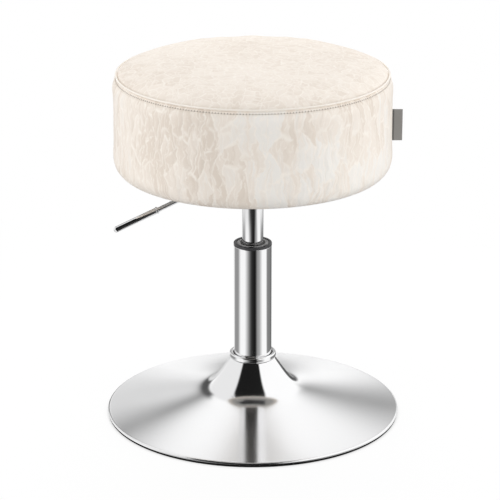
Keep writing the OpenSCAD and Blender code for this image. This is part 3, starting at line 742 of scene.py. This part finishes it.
def seam_thread():
    """Twisted sewing thread."""
    f = Finish("seam_thread")
    twist = f.noise(f.here(), 2400.0, 2.0)
    return f.surface(
        Base_Color=f.mix(twist, tint("cream", 0.62), tint("cream", 0.86)),
        Roughness=0.6,
        Normal=f.bump(twist, 0.1 * MM),
    )


FINISHES = {maker.__name__: maker for maker in (
    polished_chrome, ring_chrome, satin_chrome, cream_cover, panel_cover, welt_cover, edging_rubber,
    seal_rubber, collar_plastic, bush_plastic, bare_steel, bearing_steel, spring_steel, cage_brass,
    turned_aluminium, black_paint, zinc_plate, nylon, plywood, foam, dust_cloth, grey_ribbon, seam_thread,
)}


@functools.cache
def material(name):
    """The material of a finish, made when it is first asked for."""
    return FINISHES[name]()


# Pieces

class StoolBase(Operator):
    """Makes the spun base, its edging and the ring on its neck."""

    bl_idname = "stool.base"
    bl_label = "Base"

    def execute(self, context):
        b = context.scene.stool_base
        fit(piece("Base_Shell", *turned(self.shell(b), 384)), "base", "satin_chrome", "base_shell")
        fit(piece("Base_Edging", *turned(firm(self.edging(b)), 320)), "base", "edging_rubber", "base_edging")
        outer = radius_of("neck_ring")
        ring = round_box(b.ring_bore, outer, foot_of("neck_ring"), top_of("neck_ring"), b.ring_round)
        ring = piece("Neck_Ring", *turned(firm(ring)))
        fit(ring, "base", "ring_chrome", "neck_ring", slot="polished_chrome")
        return {"FINISHED"}

    def shell(self, b):
        """Outside: the rim's height, plus the slope times the way in from the rim, plus half the bow times
        its square over the way to the cone's foot, plus the cone's slope times the bend times the logarithm
        of one plus e to the way inside the foot over the bend. Inside: that, moved in by the wall."""
        rim = b.rim_radius - b.lip_radius
        r = b.neck_radius + (rim - b.neck_radius) * np.linspace(0, 1, 140) ** 1.4
        way = rim - r
        dish = b.rim_height + b.dish_slope * way + b.dish_bow * way ** 2 / 2 / (rim - b.cone_foot)
        cone = b.cone_bend * np.log1p(np.exp((b.cone_foot - r) / b.cone_bend))
        z = dish + (b.neck_height - dish[0]) / cone[0] * cone
        outside = np.stack([r, z], 1)
        inside = (outside - b.wall * outward(outside))[::-2]
        low = b.rim_height - b.lip_radius
        lip = arc((rim, low), b.lip_radius, 80, 0, 9)
        bore = b.rim_radius - b.wall
        foot = [[b.rim_radius, b.lip_foot], [bore, b.lip_foot], [bore, low]]
        top = [[inside[-1, 0], b.neck_height]]
        return np.vstack([outside, lip, foot, inside[1:-1], top])

    def edging(self, b):
        """A flat ring with rounded corners, and a rib up its middle that stands inside the rolled rim."""
        outer = radius_of("base_edging")
        inner = b.rim_radius - b.edging_width
        k = b.edging_round
        rib = inner + 0.55 * b.edging_width
        wall = b.rim_radius - b.wall - 0.1 * MM
        top = top_of("base_edging")
        return np.vstack([
            arc((outer - k, b.lip_foot - k), k, 90, 0),
            arc((outer - k, k), k, 0, -90),
            arc((inner + k, k), k, -90, -180),
            [[inner, 0.8 * b.lip_foot], [rib, top], [wall, top], [wall, b.lip_foot]],
        ])


class StoolColumn(Operator):
    """Makes the outer tube and the gas cylinder."""

    bl_idname = "stool.column"
    bl_label = "Column"

    def execute(self, context):
        c = context.scene.stool_column
        fit(piece("Outer_Tube", *turned(firm(self.tube(c)))), "base", "polished_chrome", "outer_tube")
        fit(piece("Gas_Cylinder", *turned(firm(self.cylinder(c)))), "seat", "polished_chrome", "gas_cylinder")
        return {"FINISHED"}

    def tube(self, c):
        """A straight tube with a tapered foot whose lower lip is rolled in."""
        low, high = foot_of("outer_tube"), top_of("outer_tube")
        foot = c.tube_radius - c.foot_in
        inner = c.tube_radius - c.tube_wall
        bore = foot - c.tube_wall
        lip = bore - c.foot_lip
        return np.vstack([
            arc((c.tube_radius - c.tube_edge, high - c.tube_edge), c.tube_edge, 90, 0, 5),
            [[c.tube_radius, c.foot_top]],
            arc((bore, low + c.tube_wall), c.tube_wall, 0, -90, 5),
            [[lip, low], [lip, low + c.end_wall], [bore, low + c.end_wall]],
            [[inner, c.foot_top], [inner, high]],
        ])

    def cylinder(self, c):
        """A straight tube that tapers at its top, with round edges at both ends."""
        low, high = foot_of("gas_cylinder"), top_of("gas_cylinder")
        k = c.cylinder_edge
        top = c.cylinder_radius - c.taper_in
        bore = 0.55 * c.cylinder_radius
        inner = c.cylinder_radius - c.cylinder_wall
        return np.vstack([
            arc((top - k, high - k), k, 90, 0, 6),
            [[c.cylinder_radius, high - c.taper_height]],
            arc((c.cylinder_radius - k, low + k), k, 0, -90, 6),
            [[bore, low], [bore, low + c.end_wall], [inner, low + c.end_wall]],
            [[inner, high - c.taper_height], [top - c.cylinder_wall, high - c.end_wall]],
            [[bore, high - c.end_wall], [bore, high]],
        ])


class StoolCushion(Operator):
    """Makes the padded seat: simulated padding under a crowned panel and a side band."""

    bl_idname = "stool.cushion"
    bl_label = "Seat cushion"

    turns = 512
    recess_rows = 5
    frames = 20

    def execute(self, context):
        s = context.scene.stool_seat
        outline, seam = self.outline(s)
        points, faces = turned(outline, self.turns)
        points = self.padded_out(points, s)
        points = self.crushed(points, outline, seam, s)
        cushion = piece("Seat_Cushion", points, faces, self.cut(outline, seam, faces, points, s), 50)
        fit(cushion, "seat", "cream_cover", "seat_foam", "top_cover", "side_band")
        cushion.data.materials.append(material("panel_cover"))
        cushion.data.materials.append(material("foam"))
        cushion.data.polygons.foreach_set("material_index", self.finish_of_face(outline, seam))
        return {"FINISHED"}

    def skin(self, s, inset=0.0):
        """Cover's outline from the crown's pole to the hem's edge, and how far along it the seam is.
        Crown: its height times 1 less r / R to its power, and a small roll that rises by the seam.
        Shoulder: out by a sine. Lower edge: a quarter of a superellipse, whose radius and height are the
        cosine and sine to 2 over its power."""
        r = (s.seam_radius - inset) * np.linspace(0, 1, 400) ** 0.6
        fall = 1 - (r / r[-1]) ** s.crown_power
        roll = s.roll * (1 - np.exp((r - r[-1]) / (0.9 * s.roll)))
        crown = np.stack([r, s.seam_height + (s.crown - s.roll - inset) * fall + roll], 1)
        t = np.linspace(0, 1, 40)[1:]
        out = s.seam_radius - inset + (s.radius - s.seam_radius) * np.sin(t * math.pi / 2)
        shoulder = np.stack([out, s.seam_height - s.shoulder * t], 1)
        a = np.linspace(0, math.pi / 2, 60)
        k = s.bottom_round - inset
        power = 2 / s.bottom_power
        low = np.stack([
            s.radius - s.bottom_round + k * np.cos(a).clip(0) ** power,
            s.bottom + s.bottom_round - k * np.sin(a) ** power,
        ], 1)
        hem = np.array([[s.board_radius - s.hem, s.bottom + inset]])
        return np.vstack([crown, shoulder, low, hem]), along(crown)[-1]

    def outline(self, s):
        """The skin's rows, close together by the seam, then the recess for the board, and the seam's row."""
        skin, seam = self.skin(s)
        run = along(skin)[-1]
        near = np.array([0.5, 1.0, 1.6, 2.2, 2.9, 3.7, 4.6, 5.5, 6.3, 7.0, 7.7, 8.6, 9.8, 11.2, 13.0]) * MM
        panel = np.concatenate([np.linspace(0, seam - 15 * MM, 70), seam - near[::-1]])
        band = np.concatenate([seam + near, np.linspace(seam + 15 * MM, run, 66)])
        rows = respaced(skin, np.concatenate([panel, [seam], band]))
        board = s.board_radius + 0.2 * MM
        under, over = foot_of("seat_board"), top_of("seat_board")
        hem = s.board_radius - s.hem
        recess = [[hem, under], [board, under], [board, over], [0.5 * board, over], [0, over]]
        return np.vstack([rows, recess]), len(panel)

    def finish_of_face(self, outline, seam):
        """Each face's finish: 1, the panel, down to the seam's row, 0, the band, and 2, foam, in the
        recess."""
        hem = len(outline) - self.recess_rows - 1
        rows = np.arange(len(outline) - 3)
        index = np.where(rows < seam - 1, 1, np.where(rows < hem - 1, 0, 2))
        return np.concatenate([np.repeat(index, self.turns), np.full(self.turns, 1), np.full(self.turns, 2)])

    def cut(self, outline, seam, faces, points, s):
        """The cover's flat cut, in metres: the panel lies as it is seen from above, and the band is unrolled,
        with the turn along u from the tag's side seam and the way down from the top seam along v."""
        run = along(outline)
        rings = len(outline) - 2
        _, row, col = grid(rings, self.turns)
        flat = points[np.array(faces[:len(row)])][..., :2]
        band = np.stack([col / self.turns * 2 * math.pi * s.radius, run[seam] - run[row + 1] + 0 * col], -1)
        quads = np.where(row[:, 1:2, None] < seam, flat, band)
        fans = points[np.array(faces[len(row):])][..., :2]
        return np.vstack([quads.reshape(-1, 2), fans.reshape(-1, 2)])

    def padded_out(self, points, s):
        """The points laid on simulated padding: not at all within 9 mm of the seam, 4 mm of the lower edge or
        under the board, fully some 20 mm further on, and by 0.3 on the panel."""
        pad = self.simulated(s)
        skin = piece("Skin", points, np.zeros((0, 3), int).tolist())
        wrap = skin.modifiers.new("Wrap", "SHRINKWRAP")
        wrap.target = pad
        wrap.wrap_method = "NEAREST_SURFACEPOINT"
        laid = read_points(skin)
        for obj in (skin, pad):
            bpy.data.objects.remove(obj)
        r = np.hypot(points[:, 0], points[:, 1])
        from_seam = np.hypot(r - s.seam_radius, points[:, 2] - s.seam_height)
        weight = soft_steps((from_seam - 9 * MM) / (22 * MM))
        weight *= soft_steps((points[:, 2] - s.bottom - 4 * MM) / (20 * MM))
        weight *= np.where(points[:, 2] > s.seam_height, 0.3, 1.0)
        inner = (points[:, 2] < top_of("seat_board") + MM) & (r < s.board_radius + MM)
        step = (laid - points) * np.where(inner, 0, weight)[:, None]
        return points + self.without_mean(step, points)

    def without_mean(self, step, points):
        """Steps less each row's mean step, so that the seat keeps its outline and only folds are left."""
        rows = step[:-2].reshape(-1, self.turns, 3)
        t = np.arctan2(points[:-2, 1], points[:-2, 0]).reshape(-1, self.turns)
        out = np.stack([np.cos(t), np.sin(t), 0 * t], -1)
        radial = (rows * out).sum(-1)
        radial = radial - radial.mean(1, keepdims=True)
        upright = rows[..., 2] - rows[..., 2].mean(1, keepdims=True)
        rows = out * radial[..., None]
        rows[..., 2] = upright
        return np.vstack([rows.reshape(-1, 3), 0 * step[-2:]])

    def simulated(self, s):
        """Cloth under pressure: the skin, a little smaller, remeshed in even cells, held along the seam and
        under the board, and blown out for some frames. No point ends further off than the swell."""
        skin, _ = self.skin(s, s.inset)
        rows = respaced(skin, np.linspace(0, along(skin)[-1], 70))
        closed = np.vstack([rows, [[0, rows[-1, 1]]]])
        pad = piece("Padding", *turned(closed, 160))
        mesh_cells(pad, 5 * MM)
        start = read_points(pad)
        r = np.hypot(start[:, 0], start[:, 1])
        at_seam = np.hypot(r - s.seam_radius + s.inset, start[:, 2] - s.seam_height) < 5 * MM
        under = start[:, 2] < s.bottom + 8 * MM
        held = pad.vertex_groups.new(name="held")
        held.add(np.flatnonzero(at_seam | under).tolist(), 1.0, "REPLACE")
        cloth = pad.modifiers.new("Cloth", "CLOTH")
        settings = {
            "vertex_group_mass": "held",
            "use_pressure": True,
            "uniform_pressure_force": 4.0,
            "shrink_min": -0.025,
            "tension_stiffness": 25.0,
            "compression_stiffness": 25.0,
            "bending_stiffness": 1.5,
        }
        for name, setting in settings.items():
            setattr(cloth.settings, name, setting)
        cloth.settings.effector_weights.gravity = 0.0
        cloth.point_cache.frame_end = self.frames
        scene = bpy.context.scene
        for number in range(self.frames):
            scene.frame_set(number + 1)
        moved_to = read_points(pad)
        pad.modifiers.clear()
        scene.frame_set(1)
        step = moved_to - start
        size = np.linalg.norm(step, axis=1, keepdims=True)
        step *= np.minimum(1, s.swell / np.maximum(size, 1e-9))
        pad.data.vertices.foreach_set("co", (start + step).astype(np.float32).ravel())
        smooth = pad.modifiers.new("Smooth", "SUBSURF")
        smooth.levels = smooth.render_levels = 1
        return pad

    def crushed(self, points, outline, seam, s):
        """The points moved along the outline's normal: folds that slant down the band, faint dents on the
        panel, grooves on both sides of the welt, a valley for the stitches and the allowance's edge."""
        rings = len(outline) - 2
        run = (along(outline) - along(outline)[seam])[1:-1]
        normal = outward(outline)[1:-1]
        u = np.linspace(0, 1, self.turns, endpoint=False)[None, :]
        down = run[:, None]
        v = np.clip(down / 0.2, 0, 1)
        slant = u + 0.05 * v
        creases = folds(slant, v, 60, 5, 3) * 0.55 + folds(u - 0.04 * v, v, 90, 8, 11) * 0.3
        creases = creases + soft_noise(slant, v, 36, 4, 21) * 0.35 - 0.6
        fade = soft_steps((down - 7 * MM) / (10 * MM)) * soft_steps((0.125 - down) / (30 * MM))
        lift = s.crease * creases * fade
        groove = 0.9 * MM * ridge(down, 0.6 * MM, 1.5 * MM)
        valley = 0.6 * MM * ridge(down, s.stitch_drop, 1.3 * MM)
        ledge = 0.5 * MM * ridge(down, s.fold_drop, 0.9 * MM)
        above = 0.5 * MM * ridge(down, -0.5 * MM, 1.0 * MM)
        lift = lift + np.where(down > 0, ledge - valley - groove, -above)
        place = points[:rings * self.turns].reshape(rings, self.turns, 3)
        x, y = place[..., 0] / 0.4 + 0.5, place[..., 1] / 0.4 + 0.5
        dents = soft_noise(x, y, 9, 9, 31) * 0.5 + soft_noise(x, y, 17, 17, 37) * 0.25
        lift = lift + np.where(down < 0, 0.5 * MM * dents * soft_steps(-down / (20 * MM)), 0)
        t = 2 * math.pi * u
        way = np.stack([normal[:, :1] * np.cos(t), normal[:, :1] * np.sin(t), normal[:, 1:] + 0 * t], -1)
        lift[len(outline) - self.recess_rows - 2:] = 0
        crushed = place + way * lift[..., None]
        return np.vstack([crushed.reshape(-1, 3), points[rings * self.turns:]])


def read_points(obj):
    """An object's points with its modifiers, as an array."""
    found = obj.evaluated_get(bpy.context.evaluated_depsgraph_get()).data
    points = np.empty(3 * len(found.vertices), np.float32)
    found.vertices.foreach_get("co", points)
    return points.reshape(-1, 3).astype(float)


def mesh_cells(obj, size):
    """Replaces an object's mesh by one of cells of a size."""
    remesh = obj.modifiers.new("Cells", "REMESH")
    remesh.mode = "VOXEL"
    remesh.voxel_size = size
    found = obj.evaluated_get(bpy.context.evaluated_depsgraph_get())
    new = bpy.data.meshes.new_from_object(found)
    obj.modifiers.clear()
    obj.data = new


class StoolSeam(Operator):
    """Makes the welt in the top seam and the row of stitches below it."""

    bl_idname = "stool.seam"
    bl_label = "Seam"

    def execute(self, context):
        s = context.scene.stool_seat
        low, high = foot_of("seam_welt"), top_of("seam_welt")
        middle = (radius_of("seam_welt") - s.welt_radius, (low + high) / 2)
        welt = turned(arc(middle, s.welt_radius, 90, -255, 16), 512)
        fit(piece("Seam_Welt", *welt), "seat", "welt_cover", "seam_welt", slot="cream_cover")
        fit(piece("Stitches", *self.row(s)), "seat", "seam_thread", slot="cream_cover")
        return {"FINISHED"}

    def row(self, s):
        """Stitches as bars with round ends: a half ellipse's width along each, turned about its length, then
        copied to equal turns round the seat."""
        along_bar = np.linspace(-1, 1, 7)
        width = np.sqrt(1 - 0.98 * along_bar ** 2)
        t = np.linspace(0, 2 * math.pi, 6, endpoint=False)
        pitch = 2 * math.pi * s.radius / s.stitch_count
        bar = np.stack([
            0.32 * MM * width[:, None] * np.cos(t),
            0.32 * pitch * along_bar[:, None] + 0 * t,
            0.36 * MM * width[:, None] * np.sin(t),
        ], -1).reshape(-1, 3)
        faces = grid(len(along_bar), len(t))[0][:, ::-1]
        t = s.stitch_drop / s.shoulder
        r = s.seam_radius + (s.radius - s.seam_radius) * math.sin(t * math.pi / 2) - 0.3 * MM
        bar = bar + (r, 0, s.seam_height - s.stitch_drop)
        turn = np.linspace(0, 2 * math.pi, s.stitch_count, endpoint=False)[:, None]
        x, y, z = bar[:, 0], bar[:, 1], bar[:, 2]
        points = np.stack([
            x * np.cos(turn) - y * np.sin(turn),
            x * np.sin(turn) + y * np.cos(turn),
            z + 0 * turn,
        ], -1)
        every = faces[None] + len(bar) * np.arange(s.stitch_count)[:, None, None]
        return points.reshape(-1, 3), every.reshape(-1, 4)


class StoolTag(Operator):
    """Makes the blank ribbon tag, folded once and sewn into the band's side seam."""

    bl_idname = "stool.tag"
    bl_label = "Tag"

    def execute(self, context):
        g = context.scene.stool_tag
        s = context.scene.stool_seat
        path = self.plan(g, s)
        up = np.linspace(0, 1, 43)
        out = np.clip((path[:, 0] - s.radius) / (g.tip - s.radius), 0, 1)
        wave = g.wave * out * np.sin(5.2 * up[:, None] + 0.8)
        z = g.foot + g.height * up[:, None] + 0 * out
        points = np.stack([path[:, 0] + 0 * z, path[:, 1] + wave, z], -1).reshape(-1, 3)
        tag = piece("Side_Tag", points, grid(len(up), len(path), loop_cols=False)[0])
        cloth = tag.modifiers.new("Ribbon", "SOLIDIFY")
        cloth.thickness = g.ribbon
        cloth.offset = 0.0
        fit(tag, "seat", "grey_ribbon", "side_tag")
        return {"FINISHED"}

    def plan(self, g, s):
        """The ribbon seen from above: out along one side, half round the fold, and back along the other."""
        k = 0.36 * MM
        bend = arc((g.tip - k - g.ribbon / 2, 0), k, -90, 90, 9)
        root = s.radius - 1.4 * MM
        ways = np.linspace(root, bend[0, 0], 12)[:-1]
        one = np.stack([ways, np.full_like(ways, -k)], 1)
        return np.vstack([one, bend, (one * (1, -1))[::-1]])


class StoolUnderside(Operator):
    """Makes the dust cover, stretched over the board and puckered between its staples."""

    bl_idname = "stool.underside"
    bl_label = "Underside"

    def execute(self, context):
        s = context.scene.stool_seat
        low, high = foot_of("dust_cover"), top_of("dust_cover")
        cloth = high - low - (foot_of("seat_board") - s.bottom)
        hem = s.board_radius - s.hem
        edge = s.dust_radius
        step = hem - 4 * MM
        under = np.array([[edge, low], [hem, low], [step, high - cloth], [0, high - cloth]])
        over = np.array([[0, high], [step, high], [hem, low + cloth], [edge, low + cloth]])
        outline = np.vstack([respaced(side, np.linspace(0, along(side)[-1], 60)) for side in (over, under)])
        points, faces = turned(outline)
        r = np.hypot(points[:, 0], points[:, 1])
        t = np.arctan2(points[:, 1], points[:, 0]) / (2 * math.pi) % 1
        sag = 0.35 * MM * soft_noise(t, r / edge, 32, 6, 5) * soft_steps(r / hem * 2 - 1)
        inner = soft_steps((hem - 8 * MM - r) / (15 * MM))
        points[:, 2] += np.minimum(sag * inner, 0)
        cover = fit(piece("Dust_Cover", points, faces), "seat", "dust_cloth", "dust_cover")
        return {"FINISHED"}


class StoolLever(Operator):
    """Makes the lever's bent rod, its shoulder ring and its grip."""

    bl_idname = "stool.lever"
    bl_label = "Lever"

    def execute(self, context):
        v = context.scene.stool_lever
        plane = Matrix.Rotation(v.turn, 4, "Z")
        corner = Matrix.Translation((v.corner, 0, v.height))
        line = plane @ corner @ Matrix.Rotation(math.pi / 2 + v.droop, 4, "Y")
        slope = (v.reach - v.corner) / math.cos(v.droop)
        grip = slope - v.grip_length
        points, faces = self.rod(v, grip + v.grip_bore)
        fit(piece("Lever_Rod", moved(points, plane), faces), "lever", "polished_chrome", "lever_rod")
        ring = round_box(v.rod + 0.05 * MM, v.grip + 0.6 * MM, grip - v.shoulder, grip - 0.02 * MM, 0.5 * MM)
        points, faces = turned(firm(ring), 64)
        fit(piece("Lever_Shoulder", moved(points, line), faces), "lever", "polished_chrome", "lever_shoulder")
        points, faces = turned(firm(self.grip(v, grip, slope), closed=False), 64)
        fit(piece("Lever_Grip", moved(points, line), faces), "lever", "polished_chrome", "lever_grip")
        return {"FINISHED"}

    def rod(self, v, stop):
        """A circle carried along a level run, an arc and a slope, in the lever's upright plane. Each ring's
        ways are the lever's side way and the path's direction turned a quarter."""
        tangent = v.bend * math.tan(v.droop / 2)
        centre = (v.corner - tangent, v.height - v.bend)
        bend = arc(centre, v.bend, 90, 90 - math.degrees(v.droop), 14)
        way = np.array([math.cos(v.droop), -math.sin(v.droop)])
        end = np.array([v.corner, v.height]) + stop * way
        slope = bend[-1] + np.linspace(0.01, 0.99, 24)[:, None] * (end - bend[-1])
        path = np.vstack([[[v.start, v.height]], bend, slope, [end]])
        normal = outward(path)
        n = 32
        t = np.linspace(0, 2 * math.pi, n, endpoint=False)
        side, up = v.rod * np.cos(t), v.rod * np.sin(t)
        points = np.stack([
            path[:, :1] + normal[:, :1] * up,
            side + 0 * path[:, :1],
            path[:, 1:] + normal[:, 1:] * up,
        ], -1).reshape(-1, 3)
        faces = grid(len(path), n)[0][:, ::-1].tolist()
        last = (len(path) - 1) * n
        return points, faces + [list(range(n)), list(range(last + n - 1, last - 1, -1))]

    def grip(self, v, start, stop):
        """A sleeve with a small round edge at its open end and a round nose."""
        k = 0.6 * MM
        bore = v.rod + 0.05 * MM
        deep = start + v.grip_bore
        return np.vstack([
            [[0, stop]],
            arc((0, stop - v.grip), v.grip, 84, 0, 14),
            arc((v.grip - k, start + k), k, 0, -90, 6),
            [[bore, start], [bore, deep], [0, deep]],
        ])


class StoolWorkings(Operator):
    """Gives each solid that stays as it is its finish."""

    bl_idname = "stool.workings"
    bl_label = "Workings"

    def execute(self, context):
        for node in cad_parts.values():
            if node.hide_render:
                continue
            for place in node.material_slots:
                place.material = material(place.material.name)
        return {"FINISHED"}


# Studio

class StoolStudio(Operator):
    """Sets the floor, the lamps, the cards that the chrome shows and the camera."""

    bl_idname = "stool.studio"
    bl_label = "Studio"

    floor_radius = 9.0
    dome_radius = 8.0
    # Height that the lamps look at
    lamp_aim = 0.35
    # Distances between which the reflected floor goes from its near to its far brightness
    near_reach = 0.72
    far_reach = 0.9
    # Brightness of the floor in reflections by the turn in degrees from the camera to the right, near and far
    near_floor = (
        (-180, 0.12), (-173, 0.14), (-167, 0.70), (-147, 0.80), (-137, 0.30), (-98, 0.30), (-86, 0.70),
        (-76, 0.98), (-48, 0.98), (-34, 0.55), (-24, 0.28), (-15, 0.10), (-6, 0.03), (8, 0.012), (16, 0.012),
        (22, 0.14), (28, 0.30), (40, 0.40), (52, 0.75), (60, 1.0), (87, 1.0), (98, 0.25), (115, 0.22),
        (140, 0.20), (150, 0.08), (160, 0.10), (168, 0.32), (175, 0.18), (180, 0.12),
    )
    far_floor = (
        (-180, 0.13), (-166, 0.12), (-152, 0.70), (-140, 0.80), (-56, 0.80), (-40, 0.25), (-25, 0.03),
        (20, 0.02), (35, 0.30), (50, 0.95), (128, 0.90), (146, 0.30), (163, 0.10), (180, 0.13),
    )
    # Heights in degrees that a flag leans about and spreads above
    lean_from = 17
    spread_from = 28
    # Flags on the reflected sky, in degrees: middle, half width, foot, top, softness and level, then how far
    # the middle moves for each degree of height, and how much the half width grows for each
    flags = (
        (-95, 52, -10, 90, 18, 0.86, 0, 0),
        (-174, 12, 27, 33, 15, 0.12, 0, 0),
        (172, 12, 14, 27, 24, 0.22, 0, 0),
        (-180, 10, 3, 11, 8, 1.1, 0, 0),
        (-158.5, 8.5, -10, 39, 6.5, 0.08, 0.35, 0),
        (171.5, 5, -10, -1, 3, 0.1, 0, 0),
        (-171.5, 5, -10, -1, 3, 0.1, 0, 0),
        (-13, 34, -10, 74, 9, 0.012, 0, 1.0),
    )

    def execute(self, context):
        d = context.scene.stool_studio
        self.floor()
        self.reflected_floor()
        self.reflected_sky()
        self.sky(d)
        self.lamp("Lamp_Left", (-2.08, -0.97, 0.32), 0.6, d.side_lamp)
        self.lamp("Lamp_Right", (2.08, -0.97, 0.32), 0.6, d.side_lamp)
        self.lamp("Lamp_Behind", (0.0, 1.6, 1.9), 1.4, d.top_lamp)
        self.camera(d)
        context.scene.view_settings.view_transform = "Standard"
        return {"FINISHED"}

    def seen(self, f):
        """1 where the camera or a reflection looks, 0 for the light that falls on things."""
        path = [f.node("ShaderNodeLightPath", {}, ray) for ray in
                ("Is Camera Ray", "Is Glossy Ray", "Is Transmission Ray")]
        return f.math("MAXIMUM", f.math("MAXIMUM", path[0], path[1]), path[2])

    def floor(self):
        """A round floor that shows white and keeps the stool's shadow, most of it close to the rim."""
        f = Finish("floor_white")
        away = f.size(f.here())
        seen = self.seen(f)
        share = f.ease(away, 0.192, 0.202, 0.2, 0.72) + f.ease(away, 0.2, 0.9, 0.2, 0.28)
        shade = f.mix(seen, (0.45, 0.45, 0.45), (0.98, 0.98, 0.98))
        matt = f.node("ShaderNodeBsdfDiffuse", {"Color": shade})
        white = f.node("ShaderNodeEmission", {"Color": (1, 1, 1), "Strength": 1.0})
        both = f.node("ShaderNodeMixShader", {0: seen * share, 1: matt, 2: white})
        f.node("ShaderNodeOutputMaterial", {"Surface": both})
        outline = np.array([[0.0, 0.0], [self.floor_radius, 0.0], [self.floor_radius, -0.02], [0.0, -0.02]])
        floor = piece("Floor", *turned(outline, 128))
        floor.data.materials.append(f.owner)

    def reflected_floor(self):
        """A ring on the floor whose brightness follows the turn about the column, near by and far off."""
        turn = np.arange(-180, 180, 2.0)
        r = np.array([0.2, 0.5, self.near_reach, 0.78, 0.84, self.far_reach, 2.0, self.dome_radius])
        near, far = [np.interp(turn, *zip(*table)) for table in (self.near_floor, self.far_floor)]
        off = soft_steps((r[:, None] - self.near_reach) / (self.far_reach - self.near_reach))
        t = np.radians(turn)
        r = r[:, None]
        points = np.stack([r * np.sin(t), -r * np.cos(t), 0.0004 + 0 * r * t], -1).reshape(-1, 3)
        self.only_reflected("Reflected_Floor", points, grid(len(r), len(t))[0], near * (1 - off) + far * off)

    def reflected_sky(self):
        """A dome whose brightness follows the turn about the column and the height."""
        turn = np.arange(-180, 180, 2.0)[None, :]
        height = np.arange(0, 89, 2.0)[:, None]
        level = np.full((height.size, turn.size), 1.05)
        for middle, half, foot, top, soft, shade, lean, spread in self.flags:
            across = np.abs((turn - middle - lean * (height - self.lean_from) + 180) % 360 - 180)
            across = across - half - spread * np.maximum(height - self.spread_from, 0)
            cover = soft_steps(0.5 - np.maximum(across, np.maximum(foot - height, height - top)) / soft)
            level = level * (1 - cover) + shade * cover
        t, h = np.radians(turn), np.radians(height)
        way = np.stack([np.sin(t) * np.cos(h), -np.cos(t) * np.cos(h), np.sin(h) + 0 * t], -1)
        points = self.dome_radius * way.reshape(-1, 3)
        self.only_reflected("Reflected_Sky", points, grid(height.size, turn.size)[0], level)

    def only_reflected(self, name, points, faces, level):
        """A stage piece that only reflections show, with a light of its own at each point."""
        obj = piece(name, points, faces)
        level = np.ravel(level)
        shades = np.stack([level, level, level, np.ones_like(level)], 1)
        obj.data.color_attributes.new("level", "FLOAT_COLOR", "POINT").data.foreach_set(
            "color", shades.astype(np.float32).ravel())
        f = Finish(name)
        shade = f.node("ShaderNodeAttribute", {}, "Color", attribute_name="level")
        f.node("ShaderNodeOutputMaterial", {"Surface": f.node("ShaderNodeEmission", {"Color": shade})})
        obj.data.materials.append(f.owner)
        for ray in ("camera", "diffuse", "shadow", "transmission", "volume_scatter"):
            setattr(obj, "visible_" + ray, False)

    def sky(self, d):
        """White where it is seen, and a soft light of its own strength on the object."""
        f = Finish("Sky", sky=True)
        bpy.context.scene.world = f.owner
        light = f.node("ShaderNodeBackground", {"Color": (1, 1, 1), "Strength": d.sky})
        white = f.node("ShaderNodeBackground", {"Color": (1, 1, 1), "Strength": 1.0})
        both = f.node("ShaderNodeMixShader", {0: self.seen(f), 1: light, 2: white})
        f.node("ShaderNodeOutputWorld", {"Surface": both})

    def lamp(self, name, place, size, power):
        """A square soft lamp that looks at the seat."""
        data = bpy.data.lights.new(name, "AREA")
        data.shape = "SQUARE"
        data.size = size
        data.energy = power
        lamp = bpy.data.objects.new(name, data)
        way = Vector((0, 0, self.lamp_aim)) - Vector(place)
        lamp.matrix_world = Matrix.Translation(place) @ way.to_track_quat("-Z", "Y").to_matrix().to_4x4()
        lamp.visible_glossy = False
        bpy.context.scene.collection.objects.link(lamp)

    def camera(self, d):
        """The camera at the photograph's place and angle."""
        data = bpy.data.cameras.new("Camera")
        data.sensor_width = 36.0
        data.lens = d.focal
        data.shift_x = d.shift_x
        data.shift_y = d.shift_y
        data.clip_end = 50.0
        camera = bpy.data.objects.new("Camera", data)
        camera.location = (d.camera_side, -d.camera_back, d.camera_up)
        camera.rotation_euler = (math.pi / 2 - d.pitch, 0, 0)
        bpy.context.scene.collection.objects.link(camera)
        bpy.context.scene.camera = camera


class StoolPanel(Panel):
    """Lists the stool's pieces and their sizes."""

    bl_idname = "VIEW3D_PT_stool"
    bl_label = "Vanity stool"
    bl_space_type = "VIEW_3D"
    bl_region_type = "UI"
    bl_category = "Stool"

    def draw(self, context):
        for operator in OPERATORS:
            self.layout.operator(operator.bl_idname)
        for name, group in GROUPS.items():
            box = self.layout.box()
            box.label(text=group.__doc__)
            for key in group.__annotations__:
                box.prop(getattr(context.scene, name), key)


OPERATORS = (
    StoolBase, StoolColumn, StoolCushion, StoolSeam, StoolTag, StoolUnderside, StoolLever, StoolWorkings,
    StoolStudio,
)


def register():
    """Registers the classes and hangs the settings on the scene."""
    for item in (*GROUPS.values(), *OPERATORS, StoolPanel):
        bpy.utils.register_class(item)
    for name, group in GROUPS.items():
        setattr(bpy.types.Scene, name, PointerProperty(type=group))


def unregister():
    """Takes the settings and the classes away again."""
    for name in GROUPS:
        delattr(bpy.types.Scene, name)
    for item in reversed((*GROUPS.values(), *OPERATORS, StoolPanel)):
        bpy.utils.unregister_class(item)


def main():
    """Makes every piece and the studio."""
    register()
    for operator in OPERATORS:
        group, name = operator.bl_idname.split(".")
        getattr(getattr(bpy.ops, group), name)()


if __name__ == "__main__":
    main()
